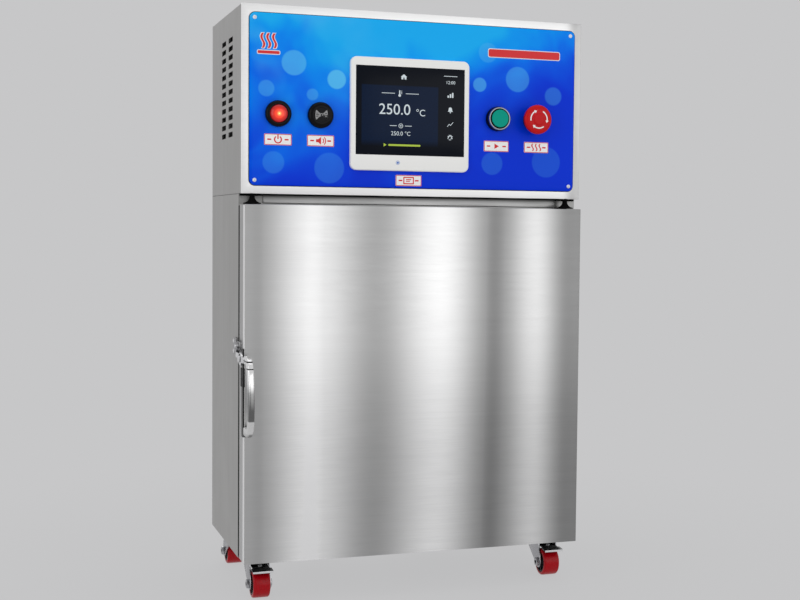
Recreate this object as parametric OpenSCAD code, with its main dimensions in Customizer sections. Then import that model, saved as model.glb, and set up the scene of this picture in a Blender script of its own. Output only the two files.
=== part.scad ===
// Dry heat sterilizer: a hot air cabinet on casters with a control box on top.
// X runs across the front, Y runs back from the control box front, Z is up from the floor.

/* [Cabinet] */
// Width of the cabinet and the control box
body_w = 500; // [480:5:600]
// Depth of the control box, front face to back face
body_d = 240; // [230:5:320]
// Height of the cabinet's underside above the floor
base_h = 60; // [60:1:62]
// Height of the cabinet
cabinet_h = 503; // [490:1:600]
// How far the cabinet's front lies behind the control box front
setback = 17; // [16:0.5:20]
// Thickness of the sheet metal
sheet = 1.2; // [1:0.1:1.5]
// Thickness of the base pan that carries the casters
pan_t = 2; // [1.5:0.5:3]

/* [Chamber] */
// Insulation at each side of the chamber
side_lag = 52; // [48:1:60]
// Insulation above the chamber
top_lag = 65; // [60:1:75]
// Insulation and air space below the chamber
bottom_lag = 53; // [48:1:60]
// Insulation behind the chamber
back_lag = 42; // [38:1:50]
// Thickness of the chamber liner
liner_t = 1; // [0.8:0.1:1.2]
// Thickness of a shelf ladder's strips
strip_t = 1.5; // [1:0.1:2]
// Width of a shelf ladder's ledges
ledge_w = 12; // [10:0.5:14]
// Width of a shelf ladder's upright strips
upright_w = 15; // [12:1:20]
// Height of the lower shelf above the chamber floor
shelf_z1 = 90; // [70:1:110]
// Height of the upper shelf above the chamber floor
shelf_z2 = 220; // [180:1:240]
// Radius of a shelf's frame wire
frame_wire_r = 3; // [2.5:0.1:3.5]
// Radius of a shelf's cross wires
cross_wire_r = 1.5; // [1.2:0.1:1.8]
// Spacing of a shelf's cross wires
wire_pitch = 22; // [18:1:30]

/* [Fan and heaters] */
// Radius of the circulation fan
fan_r = 55; // [45:1:58]
// Height of the fan's vanes
vane_h = 16; // [12:1:18]
// Radius of the fan shaft
shaft_r = 4; // [3:0.5:5]
// Radius of the fan motor
motor_r = 38; // [32:1:42]
// Height of the fan motor
motor_h = 58; // [45:1:65]
// Radius of a heater tube
heater_r = 4; // [3:0.5:4.5]
// Bend radius of a heater tube
heater_bend = 15; // [12:1:18]
// Distance from the fan axis to the middle of each heater
heater_x = 100; // [85:1:110]
// Radius of the temperature probe
probe_r = 3; // [2:0.5:4]
// Depth of the air baffle below the chamber ceiling
baffle_drop = 34; // [32:1:40]
// Radius of the air baffle's inlet
inlet_r = 38; // [30:1:45]

/* [Control box] */
// Height of the control box
box_h = 256; // [240:1:300]
// Height of a vent slot
slot_h = 7; // [5:0.5:8]
// Length of a vent slot
slot_l = 34; // [28:1:38]
// Spacing of the vent slots
slot_pitch = 12; // [10:0.5:14]
// Number of vent slots in a column
slot_rows = 12; // [8:1:12]
// Distance from the control box top to the first vent slot
slot_top = 40; // [30:1:45]
// Distance from the front to the middle of the first column of slots
slot_y1 = 82; // [70:1:90]
// Distance from the front to the middle of the second column of slots
slot_y2 = 137; // [125:1:150]

/* [Control panel] */
// Width of the graphic panel
panel_w = 478; // [470:1:480]
// Height of the graphic panel
panel_h = 233; // [228:1:236]
// Thickness of the graphic panel
panel_t = 2; // [1.5:0.5:3]
// Corner radius of the graphic panel
panel_r = 8; // [4:1:12]
// Width of the touch screen housing
hmi_w = 174; // [165:1:185]
// Height of the touch screen housing
hmi_h = 157; // [150:1:165]
// How far the touch screen housing stands out of the panel
hmi_t = 6; // [4:0.5:8]
// Corner radius of the touch screen housing
hmi_r = 9; // [5:1:12]
// Sideways place of the touch screen housing
hmi_x = -12.5; // [-20:0.5:0]
// Depth of the touch screen's rear body
hmi_body_d = 36; // [25:1:45]
// Width of the touch screen glass
glass_w = 159; // [150:1:160]
// Height of the touch screen glass
glass_h = 123; // [115:1:130]
// Thickness of the touch screen glass
glass_t = 1.6; // [1:0.1:2]
// Radius of the mounting hole of a lamp or button
hole_r = 11.2; // [11.1:0.05:11.4]
// Radius of the mounting neck of a lamp or button
neck_r = 11; // [10.5:0.1:11]
// Radius of the lamp's and the buzzer's bezel
bezel_r = 18; // [16:0.5:19]
// How far the lamp's and the buzzer's bezel stands out
bezel_t = 8; // [6:0.5:10]
// Radius of the lamp lens
lens_r = 12; // [10:0.5:13]
// Radius of the start button's cap
cap_r = 12.5; // [11:0.5:13]
// Thickness of the start button's black base
button_base_t = 8; // [6:0.5:10]
// Travel of the start button
press_travel = 3; // [2:0.5:3.5]
// Radius of the emergency stop's head
stop_r = 21; // [18:0.5:22]
// Travel of the emergency stop
stop_travel = 5; // [4:0.5:6]
// Width of a label plate
label_w = 38; // [34:1:42]
// Height of a label plate
label_h = 15.5; // [12:0.5:17]
// Thickness of a label plate
label_t = 1; // [0.8:0.1:1.5]

/* [Door] */
// Thickness of the door
door_t = 40; // [36:0.5:45]
// Space between the door's back and the cabinet's front
door_gap = 8; // [7:0.5:10]
// Height left open above the door
door_top_gap = 15; // [14:0.5:18]
// Clearance under the door
door_foot_gap = 1; // [0.8:0.1:1.5]
// How far the door's hinge side stops short of the cabinet side
hinge_inset = 10.5; // [10:0.5:14]
// Distance from the door's hinge side to the pivot
pivot_in = 10.5; // [9:0.5:11]
// Distance from the door's back to the pivot
pivot_back = 6; // [5.5:0.5:8]
// Radius of a pivot pin
pivot_r = 3; // [2.5:0.1:3]
// Radius of a pivot bush
bush_r = 5; // [4.5:0.1:5.2]
// Length of a pivot bush
bush_l = 22; // [15:1:30]
// Inset of the gasket from the door's edge
gasket_inset = 25; // [22:1:30]
// Width of the gasket
gasket_w = 14; // [10:1:16]

/* [Latch] */
// Height of the lever's pivot above the door's foot
lever_pivot_z = 279; // [240:1:300]
// Distance from the door's front to the lever's pivot
lever_pivot_in = 9; // [8:0.5:12]
// How far the lever's bar stands in front of the door
lever_reach = 47; // [40:1:55]
// Length of the lever, top to bottom
lever_l = 104; // [90:1:120]
// Width of the lever's bar
lever_w = 12; // [10:0.5:15]
// Thickness of the lever's bar
lever_t = 8; // [6:0.5:9]
// Outer bend radius of the lever
lever_bend = 22; // [16:1:26]
// Radius of the lever's pivot pin
lever_pin_r = 3; // [2:0.5:3.5]
// Radius of the keeper's roller
roller_r = 8; // [6:0.5:9]
// Width of the keeper's roller
roller_w = 4.5; // [4:0.5:6]

/* [Casters] */
// Radius of a caster wheel
wheel_r = 20; // [19:0.25:20]
// Width of a caster wheel
wheel_w = 24; // [18:0.5:24]
// Radius of a caster's hub
hub_r = 15.5; // [12:0.5:15.5]
// Radius of a caster's axle
axle_r = 4; // [3:0.5:4.5]
// Distance from the swivel axis to the wheel axle
trail = 20; // [17:0.5:21]
// Space between a fork's cheeks
fork_gap = 26; // [25:0.5:28]
// Thickness of a fork's cheeks
cheek_t = 2; // [1.5:0.5:2.5]
// Side of a caster's square top plate
plate_s = 50; // [48:1:54]
// Thickness of a caster's top plate
plate_t = 3; // [2.5:0.5:4]
// Spacing of the bolts in a caster's top plate
plate_bolts = 38; // [36:1:40]
// Distance from the cabinet's side to a caster's swivel axis
caster_in_x = 32; // [30:1:45]
// Distance from the cabinet's front or back to a caster's swivel axis
caster_in_y = 28; // [28:1:40]

/* [Hidden] */
$fn = 48;

// Named clearances
run_gap = 0.05;   // radial gap of a pin or shaft that turns in its bore
slide_gap = 0.3;  // gap between pieces that move past each other
fit_gap = 0.2;    // gap round a piece that drops into a pocket

// Levels and planes of the cabinet and the control box
half_w = body_w / 2;
cab_z0 = base_h;
cab_z1 = base_h + cabinet_h;
box_z1 = cab_z1 + box_h;
cab_y0 = setback;
frame_back = setback + sheet;
back_y0 = body_d - sheet;
cham_x = half_w - sheet - side_lag - liner_t;
cham_z0 = cab_z0 + pan_t + bottom_lag + liner_t;
cham_z1 = cab_z1 - sheet - top_lag - liner_t;
cham_y1 = back_y0 - back_lag - liner_t;
cham_mid_y = (frame_back + cham_y1) / 2;

// Levels and planes of the door
door_y1 = cab_y0 - door_gap;
door_y0 = door_y1 - door_t;
door_x0 = -half_w;
door_x1 = half_w - hinge_inset;
door_z0 = cab_z0 + door_foot_gap;
door_z1 = cab_z1 - door_top_gap;
pivot_x = door_x1 - pivot_in;
pivot_y = door_y1 - pivot_back;

// Places on the control panel
panel_z0 = cab_z1 + (box_h - panel_h) / 2;
panel_mid_z = cab_z1 + box_h / 2;
hmi_z0 = cab_z1 + 35;
hmi_mid_z = hmi_z0 + hmi_h / 2;
glass_z = hmi_z0 + 83.5;
lamp_at = [-200, cab_z1 + 109];
buzzer_at = [-141, cab_z1 + 109];
start_at = [119, cab_z1 + 113];
stop_at = [174, cab_z1 + 113];
device_places = [lamp_at, buzzer_at, start_at, stop_at];
label_z = cab_z1 + 74;
label_places = [[-200, label_z], [-140.5, label_z], [118, label_z], [180, label_z], [hmi_x - 1, cab_z1 + 22]];
screw_inset = 7;
screw_places = [for (sx = [-1, 1], sz = [-1, 1])
  [sx * (panel_w / 2 - screw_inset), panel_mid_z + sz * (panel_h / 2 - screw_inset)]];
cover_screws_x = [-half_w + 12, 0, half_w - 12];

// Frame of the whole object: middle of its outer box, on the floor
gland_at = [180, cab_z1 + 40];
gland_l = 22;
lever_plate = 2;
lever_hub = 3;
left_reach = half_w + lever_plate + slide_gap + lever_hub + 2.5;
front_reach = lever_reach - door_y0;
mid_x = (half_w - left_reach) / 2;
mid_y = (body_d + gland_l - front_reach) / 2;

// Casters
caster_x = half_w - caster_in_x;
caster_front_y = cab_y0 + caster_in_y;
caster_rear_y = body_d - caster_in_y;
front_left = [-1, -1];
front_right = [1, -1];
rear_left = [-1, 1];
rear_right = [1, 1];
corners = [front_left, front_right, rear_left, rear_right];
plate_z0 = cab_z0 - plate_t;
cup_h = 2.7;
fork_top_z = plate_z0 - cup_h - slide_gap;
fork_plate_z = fork_top_z - 6;
pedal_pin_z = fork_plate_z - 4;

// Small fixed sizes
screw_r = 2;
bolt_r = 3;
gland_r = 10;
cord_r = 5;
neck_l = 30;
stem_r = 6;
dome_r = 22;
collar_t = 6;
kingpin_r = 4;
pedal_pin_y = -1;
pedal_pin_r = 1.5;
pedal_l = 44;
pedal_slope = 5;
toe_l = 13;
toe_w = 29;
fork_back = 24;
nut_h = 4;
head_h = 2;
tongue_l = 30;
bracket_t = 3;

// Places inside the chamber and above its roof
heater_end_y = frame_back + 22;
heater_z = cham_z1 - 16;
probe_x = cham_x - 22;
probe_y = cham_y1 - 16;
motor_z0 = cab_z1 + sheet + 28;
motor_post = (motor_r - 2) / sqrt(2);
ledge_levels = [cham_z0 + shelf_z1, cham_z0 + (shelf_z1 + shelf_z2) / 2, cham_z0 + shelf_z2];
shelf_levels = [ledge_levels[0], ledge_levels[2]];
lag_y1 = back_y0 - 9;

// Power supply and relay on the floor of the control box
supply_x = -67.5;
supply_w = 125;
supply_d = 38;
supply_h = 98;
relay_x = -183.5;
relay_w = 45;
relay_d = 60;
sink_w = 63;
sink_d = 70;
fin_t = 3;
fin_h = 22;

// Push button and emergency stop
body_ring_r = cap_r + slide_gap + 1;
button_base_r = 17.5;
chrome_ring_t = 4;
chrome_ring_r = 16.5;
button_front = -panel_t - button_base_t - chrome_ring_t - 1;
button_floor = button_front + 4.8;
stop_back = -panel_t - collar_t - stop_travel - 1.8;

// Latch, outside the sheet on the door's free side
lever_y = door_y0 + lever_pivot_in;
lever_z = door_z0 + lever_pivot_z;
hub_x1 = door_x0 - lever_plate - slide_gap;
hub_x0 = hub_x1 - lever_hub;
bar_y0 = door_y0 - lever_reach;
lever_turn = 45;
lever_wide_y = lever_y - (lever_pivot_in + slide_gap + lever_t / 2 * sin(lever_turn)) / cos(lever_turn) - slide_gap;
roller_y = door_y1 - 3;
roller_z = lever_z + 7 + slide_gap + roller_r;

// Shared shapes

// Moves the object to its own frame
module placed() {
  translate([-mid_x, -mid_y, 0]) children();
}

// A block given by its limits along each axis
module block(x0, x1, y0, y1, z0, z1) {
  translate([x0, y0, z0]) cube([x1 - x0, y1 - y0, z1 - z0]);
}

// Round bars along each axis
module bar_x(y, z, r, x0, x1) {
  translate([x0, y, z]) rotate([0, 90, 0]) cylinder(r = r, h = x1 - x0);
}
module bar_y(x, z, r, y0, y1) {
  translate([x, y0, z]) rotate([-90, 0, 0]) cylinder(r = r, h = y1 - y0);
}
module bar_z(x, y, r, z0, z1) {
  translate([x, y, z0]) cylinder(r = r, h = z1 - z0);
}

// An upright plate with rounded corners, centred on [x, z], from y0 back to y1
module upright_plate(x, z, w, h, r, y0, y1) {
  block(x - w / 2 + r, x + w / 2 - r, y0, y1, z - h / 2, z + h / 2);
  block(x - w / 2, x + w / 2, y0, y1, z - h / 2 + r, z + h / 2 - r);
  for (sx = [-1, 1], sz = [-1, 1])
    bar_y(x + sx * (w / 2 - r), z + sz * (h / 2 - r), r, y0, y1);
}

// A turned piece on an axis that runs back from the panel face at [x, z]
module turned(at) {
  translate([at[0], 0, at[1]]) rotate([-90, 0, 0]) rotate_extrude($fn = 96) children();
}

// The holes that the fan shaft, the heaters and the probe need, from z0 to z1
module roof_holes(z0, z1) {
  bar_z(0, cham_mid_y, shaft_r + 4, z0, z1);
  for (sx = [-1, 1], leg = [-1, 1])
    bar_z(sx * heater_x + leg * heater_bend, heater_end_y, heater_r + 0.5, z0, z1);
  bar_z(probe_x, probe_y, probe_r + 0.5, z0, z1);
}

// Cabinet

module cabinet_shell() placed() color([0.72, 0.72, 0.71])
  difference() {
    block(-half_w, half_w, frame_back, back_y0, cab_z0, cab_z1);
    block(-half_w + sheet, half_w - sheet, frame_back - 1, back_y0 + 1, cab_z0 - 1, cab_z1 - sheet);
    roof_holes(cab_z1 - sheet - 1, cab_z1 + 1);
  }

module base_pan() placed() color([0.62, 0.62, 0.61])
  difference() {
    block(-half_w + sheet, half_w - sheet, frame_back, back_y0, cab_z0, cab_z0 + pan_t);
    for (corner = corners)
      at_caster(corner) plate_holes(cab_z0 - 1, cab_z0 + pan_t + 1);
  }

module cabinet_back_cover() placed() color([0.66, 0.66, 0.65])
  difference() {
    block(-half_w, half_w, back_y0, body_d, cab_z0, cab_z1);
    for (x = cover_screws_x, z = [cab_z0 + 15, cab_z1 - 15])
      bar_y(x, z, screw_r + 0.1, back_y0 - 1, body_d + 1);
  }

module front_frame() placed() color([0.78, 0.78, 0.77])
  difference() {
    block(-half_w, half_w, cab_y0, frame_back, cab_z0, cab_z1);
    block(-cham_x, cham_x, cab_y0 - 1, frame_back + 1, cham_z0, cham_z1);
  }

module chamber() placed() color([0.8, 0.8, 0.79])
  difference() {
    block(-cham_x - liner_t, cham_x + liner_t, frame_back, cham_y1 + liner_t,
      cham_z0 - liner_t, cham_z1 + liner_t);
    block(-cham_x, cham_x, frame_back - 1, cham_y1, cham_z0, cham_z1);
    roof_holes(cham_z1 - 1, cham_z1 + liner_t + 1);
  }

module insulation() placed() color([0.86, 0.82, 0.62]) {
  side_x0 = cham_x + liner_t;
  side_x1 = half_w - sheet;
  air_z0 = cab_z0 + pan_t + 8;
  for (s = [-1, 1]) {
    low = s < 0 ? -side_x1 : side_x0;
    high = s < 0 ? -side_x0 : side_x1;
    block(low, high, frame_back, lag_y1, air_z0, cab_z1 - sheet);
  }
  inner_x = side_x0 - slide_gap;
  block(-inner_x, inner_x, frame_back, lag_y1, air_z0, cham_z0 - liner_t);
  block(-inner_x, inner_x, cham_y1 + liner_t, lag_y1, cham_z0 - liner_t + slide_gap,
    cham_z1 + liner_t - slide_gap);
  difference() {
    block(-inner_x, inner_x, frame_back, lag_y1, cham_z1 + liner_t, cab_z1 - sheet);
    roof_holes(cham_z1, cab_z1);
  }
}

// Two ladders of ledges on the chamber's side walls
module shelf_ladders() placed() color([0.75, 0.75, 0.74]) {
  wall_x = cham_x - slide_gap;
  y0 = cab_y0 + 13;
  y1 = cham_y1 - 11;
  for (s = [-1, 1]) {
    for (level = ledge_levels) {
      low = s < 0 ? -wall_x : wall_x - ledge_w;
      block(low, low + ledge_w, y0, y1, level - strip_t, level);
    }
    for (y = [y0 + 10, y1 - 10 - upright_w]) {
      low = s < 0 ? -wall_x : wall_x - strip_t;
      block(low, low + strip_t, y, y + upright_w, cham_z0, cham_z1 - baffle_drop - 6);
    }
  }
}

// Two wire shelves that rest on the ledges
module shelves() placed() color([0.78, 0.78, 0.78])
  for (level = shelf_levels) wire_shelf(level + frame_wire_r);

module wire_shelf(z) {
  x1 = cham_x - slide_gap - strip_t - 2 - frame_wire_r;
  y0 = cab_y0 + 15;
  y1 = cham_y1 - 13;
  count = floor(2 * (x1 - wire_pitch / 2) / wire_pitch);
  for (y = [y0, (y0 + y1) / 2, y1])
    bar_x(y, z, y == y0 || y == y1 ? frame_wire_r : cross_wire_r, -x1, x1);
  for (x = [-x1, x1]) {
    bar_y(x, z, frame_wire_r, y0, y1);
    for (y = [y0, y1]) translate([x, y, z]) sphere(r = frame_wire_r);
  }
  for (i = [0:count]) {
    x = (i - count / 2) * wire_pitch;
    bar_y(x, z, cross_wire_r, y0, y1);
  }
}

// Hairpin heaters under the ceiling, whose ends rise into the control box
module heaters() placed() color([0.35, 0.34, 0.33])
  for (s = [-1, 1]) translate([s * heater_x, 0, 0]) hairpin();

module hairpin() {
  bend_y = cham_y1 - 14 - heater_bend;
  turn_y = heater_end_y + heater_bend;
  turn_z = heater_z + heater_bend;
  translate([0, bend_y, heater_z]) rotate_extrude(angle = 180) translate([heater_bend, 0]) circle(r = heater_r);
  for (s = [-1, 1]) {
    bar_y(s * heater_bend, heater_z, heater_r, turn_y, bend_y);
    translate([s * heater_bend, turn_y, turn_z]) rotate([0, -90, 0])
      rotate([0, 0, 180]) rotate_extrude(angle = 90) translate([heater_bend, 0]) circle(r = heater_r);
    bar_z(s * heater_bend, heater_end_y, heater_r, turn_z, cab_z1 + sheet + 22);
  }
}

module temperature_probe() placed() color([0.6, 0.6, 0.62]) {
  bar_z(probe_x, probe_y, probe_r, cham_z1 - 62, cab_z1 + sheet);
  bar_z(probe_x, probe_y, probe_r + 3, cab_z1 + sheet, cab_z1 + sheet + 14);
}

// Motor on four posts above the cabinet roof
module fan_motor() placed() color([0.28, 0.29, 0.31])
  difference() {
    union() {
      bar_z(0, cham_mid_y, motor_r, motor_z0, motor_z0 + motor_h);
      block(-motor_r - 8, motor_r + 8, cham_mid_y - motor_r - 8, cham_mid_y + motor_r + 8,
        cab_z1 + sheet, cab_z1 + sheet + 3);
      for (sx = [-1, 1], sy = [-1, 1])
        bar_z(sx * motor_post, cham_mid_y + sy * motor_post, 4, cab_z1 + sheet, motor_z0 + 2);
    }
    bar_z(0, cham_mid_y, shaft_r + run_gap, cab_z1, motor_z0 + motor_h - 6);
  }

// Plate under the fan with an inlet and rows of air holes, on four posts
module air_baffle() placed() color([0.76, 0.76, 0.75]) {
  x1 = cham_x - 30;
  y0 = frame_back + 12;
  y1 = cham_y1 - 8;
  z0 = cham_z1 - baffle_drop;
  difference() {
    block(-x1, x1, y0, y1, z0 - sheet, z0);
    bar_z(0, cham_mid_y, inlet_r, z0 - sheet - 1, z0 + 1);
    for (s = [-1, 1], i = [0:3], j = [0:5])
      bar_z(s * (x1 - 14 - i * 16), cham_mid_y + (j - 2.5) * 20, 4, z0 - sheet - 1, z0 + 1);
  }
  for (sx = [-1, 1], y = [y0 + 5, y1 - 5])
    bar_z(sx * (x1 - 5), y, 3, z0, cham_z1);
}

// Fan wheel and its shaft
module fan_rotor() placed() color([0.7, 0.7, 0.72]) {
  top = cham_z1 - 5;
  bar_z(0, cham_mid_y, shaft_r, top - 2, motor_z0 + motor_h - 8);
  bar_z(0, cham_mid_y, 11, top - vane_h - 2, top);
  bar_z(0, cham_mid_y, fan_r, top - 1.2, top);
  for (i = [0:7])
    translate([0, cham_mid_y, 0]) rotate([0, 0, i * 45])
      block(10, fan_r, -0.7, 0.7, top - vane_h, top - 1);
}

// Control box

module control_box_shell() placed() color([0.74, 0.74, 0.73])
  difference() {
    block(-half_w, half_w, sheet, back_y0, cab_z1, box_z1);
    block(-half_w + sheet, half_w - sheet, sheet - 1, back_y0 + 1, cab_z1 + sheet, box_z1 - sheet);
    for (s = [-1, 1], y = [slot_y1, slot_y2], row = [0:slot_rows - 1])
      vent_slot(s, y, box_z1 - slot_top - row * slot_pitch);
    roof_holes(cab_z1 - 1, cab_z1 + sheet + 1);
  }

module vent_slot(s, y, z)
  block(s * half_w - 2 * sheet, s * half_w + 2 * sheet, y - slot_l / 2, y + slot_l / 2,
    z - slot_h / 2, z + slot_h / 2);

module control_box_back_cover() placed() color([0.66, 0.66, 0.65])
  difference() {
    block(-half_w, half_w, back_y0, body_d, cab_z1, box_z1);
    bar_y(gland_at[0], gland_at[1], gland_r + 0.2, back_y0 - 1, body_d + 1);
    for (x = cover_screws_x, z = [cab_z1 + 15, box_z1 - 15])
      bar_y(x, z, screw_r + 0.1, back_y0 - 1, body_d + 1);
    for (x = [-150:30:60])
      block(x, x + 20, back_y0 - 1, body_d + 1, box_z1 - 60, box_z1 - 56);
  }

// Cut-outs that the fascia and the graphic panel share
module panel_cutouts() {
  block(hmi_x - hmi_w / 2 + 5, hmi_x + hmi_w / 2 - 5, -panel_t - 1, sheet + 1,
    hmi_z0 + 5, hmi_z0 + hmi_h - 5);
  for (at = device_places) bar_y(at[0], at[1], hole_r, -panel_t - 1, sheet + 1);
  for (at = screw_places) bar_y(at[0], at[1], screw_r + 0.1, -panel_t - 1, sheet + 1);
}

module front_fascia() placed() color([0.86, 0.86, 0.86])
  difference() {
    block(-half_w, half_w, 0, sheet, cab_z1, box_z1);
    panel_cutouts();
  }

module graphic_panel() placed() color([0.05, 0.25, 0.78])
  difference() {
    upright_plate(0, panel_mid_z, panel_w, panel_h, panel_r, -panel_t, 0);
    panel_cutouts();
  }

module hmi_housing() placed() color([0.88, 0.88, 0.86])
  difference() {
    union() {
      upright_plate(hmi_x, hmi_mid_z, hmi_w, hmi_h, hmi_r, -panel_t - hmi_t, -panel_t);
      block(hmi_x - hmi_w / 2 + 6, hmi_x + hmi_w / 2 - 6, -panel_t, hmi_body_d,
        hmi_z0 + 6, hmi_z0 + hmi_h - 6);
    }
    block(hmi_x - glass_w / 2 - fit_gap, hmi_x + glass_w / 2 + fit_gap, -panel_t - hmi_t - 1,
      -panel_t - hmi_t + 0.4 + glass_t, glass_z - glass_h / 2 - fit_gap, glass_z + glass_h / 2 + fit_gap);
  }

module hmi_screen() placed() color([0.04, 0.05, 0.1]) {
  y0 = -panel_t - hmi_t + 0.4;
  block(hmi_x - glass_w / 2, hmi_x + glass_w / 2, y0, y0 + glass_t,
    glass_z - glass_h / 2, glass_z + glass_h / 2);
}

module lamp_body() placed() color([0.06, 0.06, 0.06])
  turned(lamp_at) difference() {
    union() {
      translate([0, -panel_t - bezel_t]) square([bezel_r - 2, 3]);
      translate([0, -panel_t - bezel_t + 2]) square([bezel_r, bezel_t - 2]);
      translate([0, -panel_t - 0.5]) square([neck_r, neck_l + panel_t + 0.5]);
    }
    translate([-1, -panel_t - bezel_t - 1]) square([lens_r + fit_gap + 1, 5]);
  }

module lamp_lens() placed() color([0.75, 0.04, 0.04])
  turned(lamp_at) {
    y1 = -panel_t - bezel_t + 4;
    translate([0, y1 - 5]) square([lens_r, 5]);
    translate([0, y1 - 5]) intersection() {
      translate([0, dome_r - 4]) circle(r = dome_r);
      translate([0, -4]) square([lens_r - 1, 5]);
    }
  }

module buzzer_body() placed() color([0.07, 0.07, 0.07])
  difference() {
    turned(buzzer_at) {
      translate([0, -panel_t - bezel_t + 2]) square([bezel_r, bezel_t - 2]);
      translate([0, -panel_t - bezel_t]) square([bezel_r - 3, 3]);
      translate([0, -panel_t - 0.5]) square([neck_r, neck_l + panel_t + 0.5]);
    }
    for (s = [-1, 1], z = [-4:4:4])
      block(buzzer_at[0] + s * 6 - 4, buzzer_at[0] + s * 6 + 4, -panel_t - bezel_t - 1,
        -panel_t - bezel_t + 2, buzzer_at[1] + z - 1, buzzer_at[1] + z + 1);
  }

module start_button_bezel() placed() color([0.85, 0.85, 0.86])
  turned(start_at)
    translate([body_ring_r + fit_gap, -panel_t - button_base_t - chrome_ring_t])
      square([chrome_ring_r - body_ring_r - fit_gap, chrome_ring_t]);

module start_button_body() placed() color([0.08, 0.08, 0.08])
  turned(start_at) difference() {
    union() {
      translate([0, -panel_t - button_base_t]) square([button_base_r, button_base_t]);
      translate([0, button_front]) square([body_ring_r, -panel_t - button_front]);
      translate([0, -panel_t - 0.5]) square([neck_r, neck_l + panel_t + 0.5]);
    }
    translate([-1, button_front - 1]) square([cap_r + slide_gap + 1, button_floor - button_front + 1]);
    translate([-1, button_front - 1]) square([stem_r + run_gap + 1, neck_l]);
  }

// The cap's underside stays clear of the body's floor at the end of its travel
module start_button_cap() placed() color([0.03, 0.42, 0.3])
  turned(start_at) {
    cap_y1 = button_floor - press_travel - slide_gap;
    translate([0, cap_y1 - 2.6]) square([cap_r - 1, 2.6]);
    translate([0, cap_y1 - 1.8]) square([cap_r, 1.8]);
    translate([0, cap_y1 - 1]) square([stem_r, 16]);
  }

module estop_collar() placed() color([0.1, 0.1, 0.1])
  turned(stop_at) difference() {
    union() {
      translate([0, -panel_t - collar_t]) square([15, collar_t]);
      translate([0, -panel_t - 0.5]) square([neck_r, neck_l + panel_t + 0.5]);
    }
    translate([-1, -panel_t - collar_t - 1]) square([stem_r + run_gap + 1, 40]);
  }

// The stem slides in the collar and carries the head, which twists on it
module estop_stem() placed() color([0.5, 0.5, 0.52])
  turned(stop_at) {
    translate([0, stop_back - 7]) square([stem_r, 7 - stop_back + 14]);
    translate([0, stop_back + 0.3]) square([stem_r + 2, 1]);
  }

module estop_head() placed() color([0.78, 0.05, 0.06])
  turned(stop_at) difference() {
    union() {
      translate([0, stop_back - 4]) square([12, 4]);
      translate([0, stop_back - 9]) square([stop_r, 5]);
      translate([0, stop_back - 12]) intersection() {
        translate([0, 60]) circle(r = 60, $fn = 180);
        square([stop_r - 1.5, 5]);
      }
      translate([0, stop_back - 13.5]) square([8, 3]);
    }
    translate([-1, stop_back - 7.3]) square([stem_r + run_gap + 1, 12]);
  }

// Switch blocks clamped on the necks behind the fascia
module contact_blocks() placed() color([0.2, 0.2, 0.22])
  for (at = device_places) difference() {
    block(at[0] - 15, at[0] + 15, sheet, neck_l + 14, at[1] - 20, at[1] + 20);
    bar_y(at[0], at[1], neck_r + 0.1, 0, neck_l + 0.5);
  }

module label_plates() placed() color([0.93, 0.93, 0.92])
  for (at = label_places)
    upright_plate(at[0], at[1], label_w, label_h, 1.5, -panel_t - label_t, -panel_t);

// Panel screws, back cover screws and caster bolts, each a separate solid
module fasteners() placed() color([0.8, 0.8, 0.82]) {
  for (at = screw_places) {
    bar_y(at[0], at[1], screw_r, -panel_t - 0.5, sheet + 6);
    bar_y(at[0], at[1], 3.5, -panel_t - 2, -panel_t);
  }
  for (x = cover_screws_x, z = [cab_z0 + 15, cab_z1 - 15, cab_z1 + 15, box_z1 - 15]) {
    bar_y(x, z, screw_r, back_y0 - 8 + sheet, body_d + 0.5);
    bar_y(x, z, 3.5, body_d, body_d + 2);
  }
  for (corner = corners)
    at_caster(corner) for (sx = [-1, 1], sy = [-1, 1])
      translate([sx * plate_bolts / 2, sy * plate_bolts / 2, 0]) {
        bar_z(0, 0, bolt_r, plate_z0 - 1, cab_z0 + pan_t + 5);
        translate([0, 0, cab_z0 + pan_t]) cylinder(r = 5.2, h = 3, $fn = 6);
        translate([0, 0, plate_z0 - 2.5]) cylinder(r = 4.6, h = 2.5, $fn = 6);
      }
}

// Gland in the back cover that a power cord would pass through
module cable_gland() placed() color([0.12, 0.12, 0.12])
  translate([gland_at[0], 0, gland_at[1]]) rotate([-90, 0, 0]) difference() {
    union() {
      translate([0, 0, back_y0 - 10]) cylinder(r = gland_r, h = 12);
      translate([0, 0, back_y0 - 5]) cylinder(r = gland_r + 4, h = 5, $fn = 6);
      translate([0, 0, body_d]) cylinder(r = gland_r + 4, h = 6, $fn = 6);
      translate([0, 0, body_d + 5]) cylinder(r = gland_r + 1, h = gland_l - 5);
    }
    translate([0, 0, back_y0 - 11]) cylinder(r = cord_r, h = gland_l + 20);
  }

module power_supply() placed() color([0.7, 0.71, 0.72])
  block(supply_x - supply_w / 2, supply_x + supply_w / 2, back_y0 - 4 - supply_d, back_y0 - 4,
    cab_z1 + sheet, cab_z1 + sheet + supply_h);

// A relay on a finned heat sink
module solid_state_relay() placed() color([0.9, 0.9, 0.88]) {
  sink_z = cab_z1 + sheet;
  fin_pitch = (sink_w - fin_t) / 6;
  for (i = [0:6])
    block(relay_x - sink_w / 2 + i * fin_pitch, relay_x - sink_w / 2 + i * fin_pitch + fin_t,
      cham_mid_y - sink_d / 2, cham_mid_y + sink_d / 2, sink_z, sink_z + fin_h);
  block(relay_x - sink_w / 2, relay_x + sink_w / 2, cham_mid_y - sink_d / 2, cham_mid_y + sink_d / 2,
    sink_z + fin_h - 1, sink_z + fin_h + 4);
  block(relay_x - relay_w / 2, relay_x + relay_w / 2, cham_mid_y - relay_d / 2, cham_mid_y + relay_d / 2,
    sink_z + fin_h + 4, sink_z + fin_h + 30);
}

// Door

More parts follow.
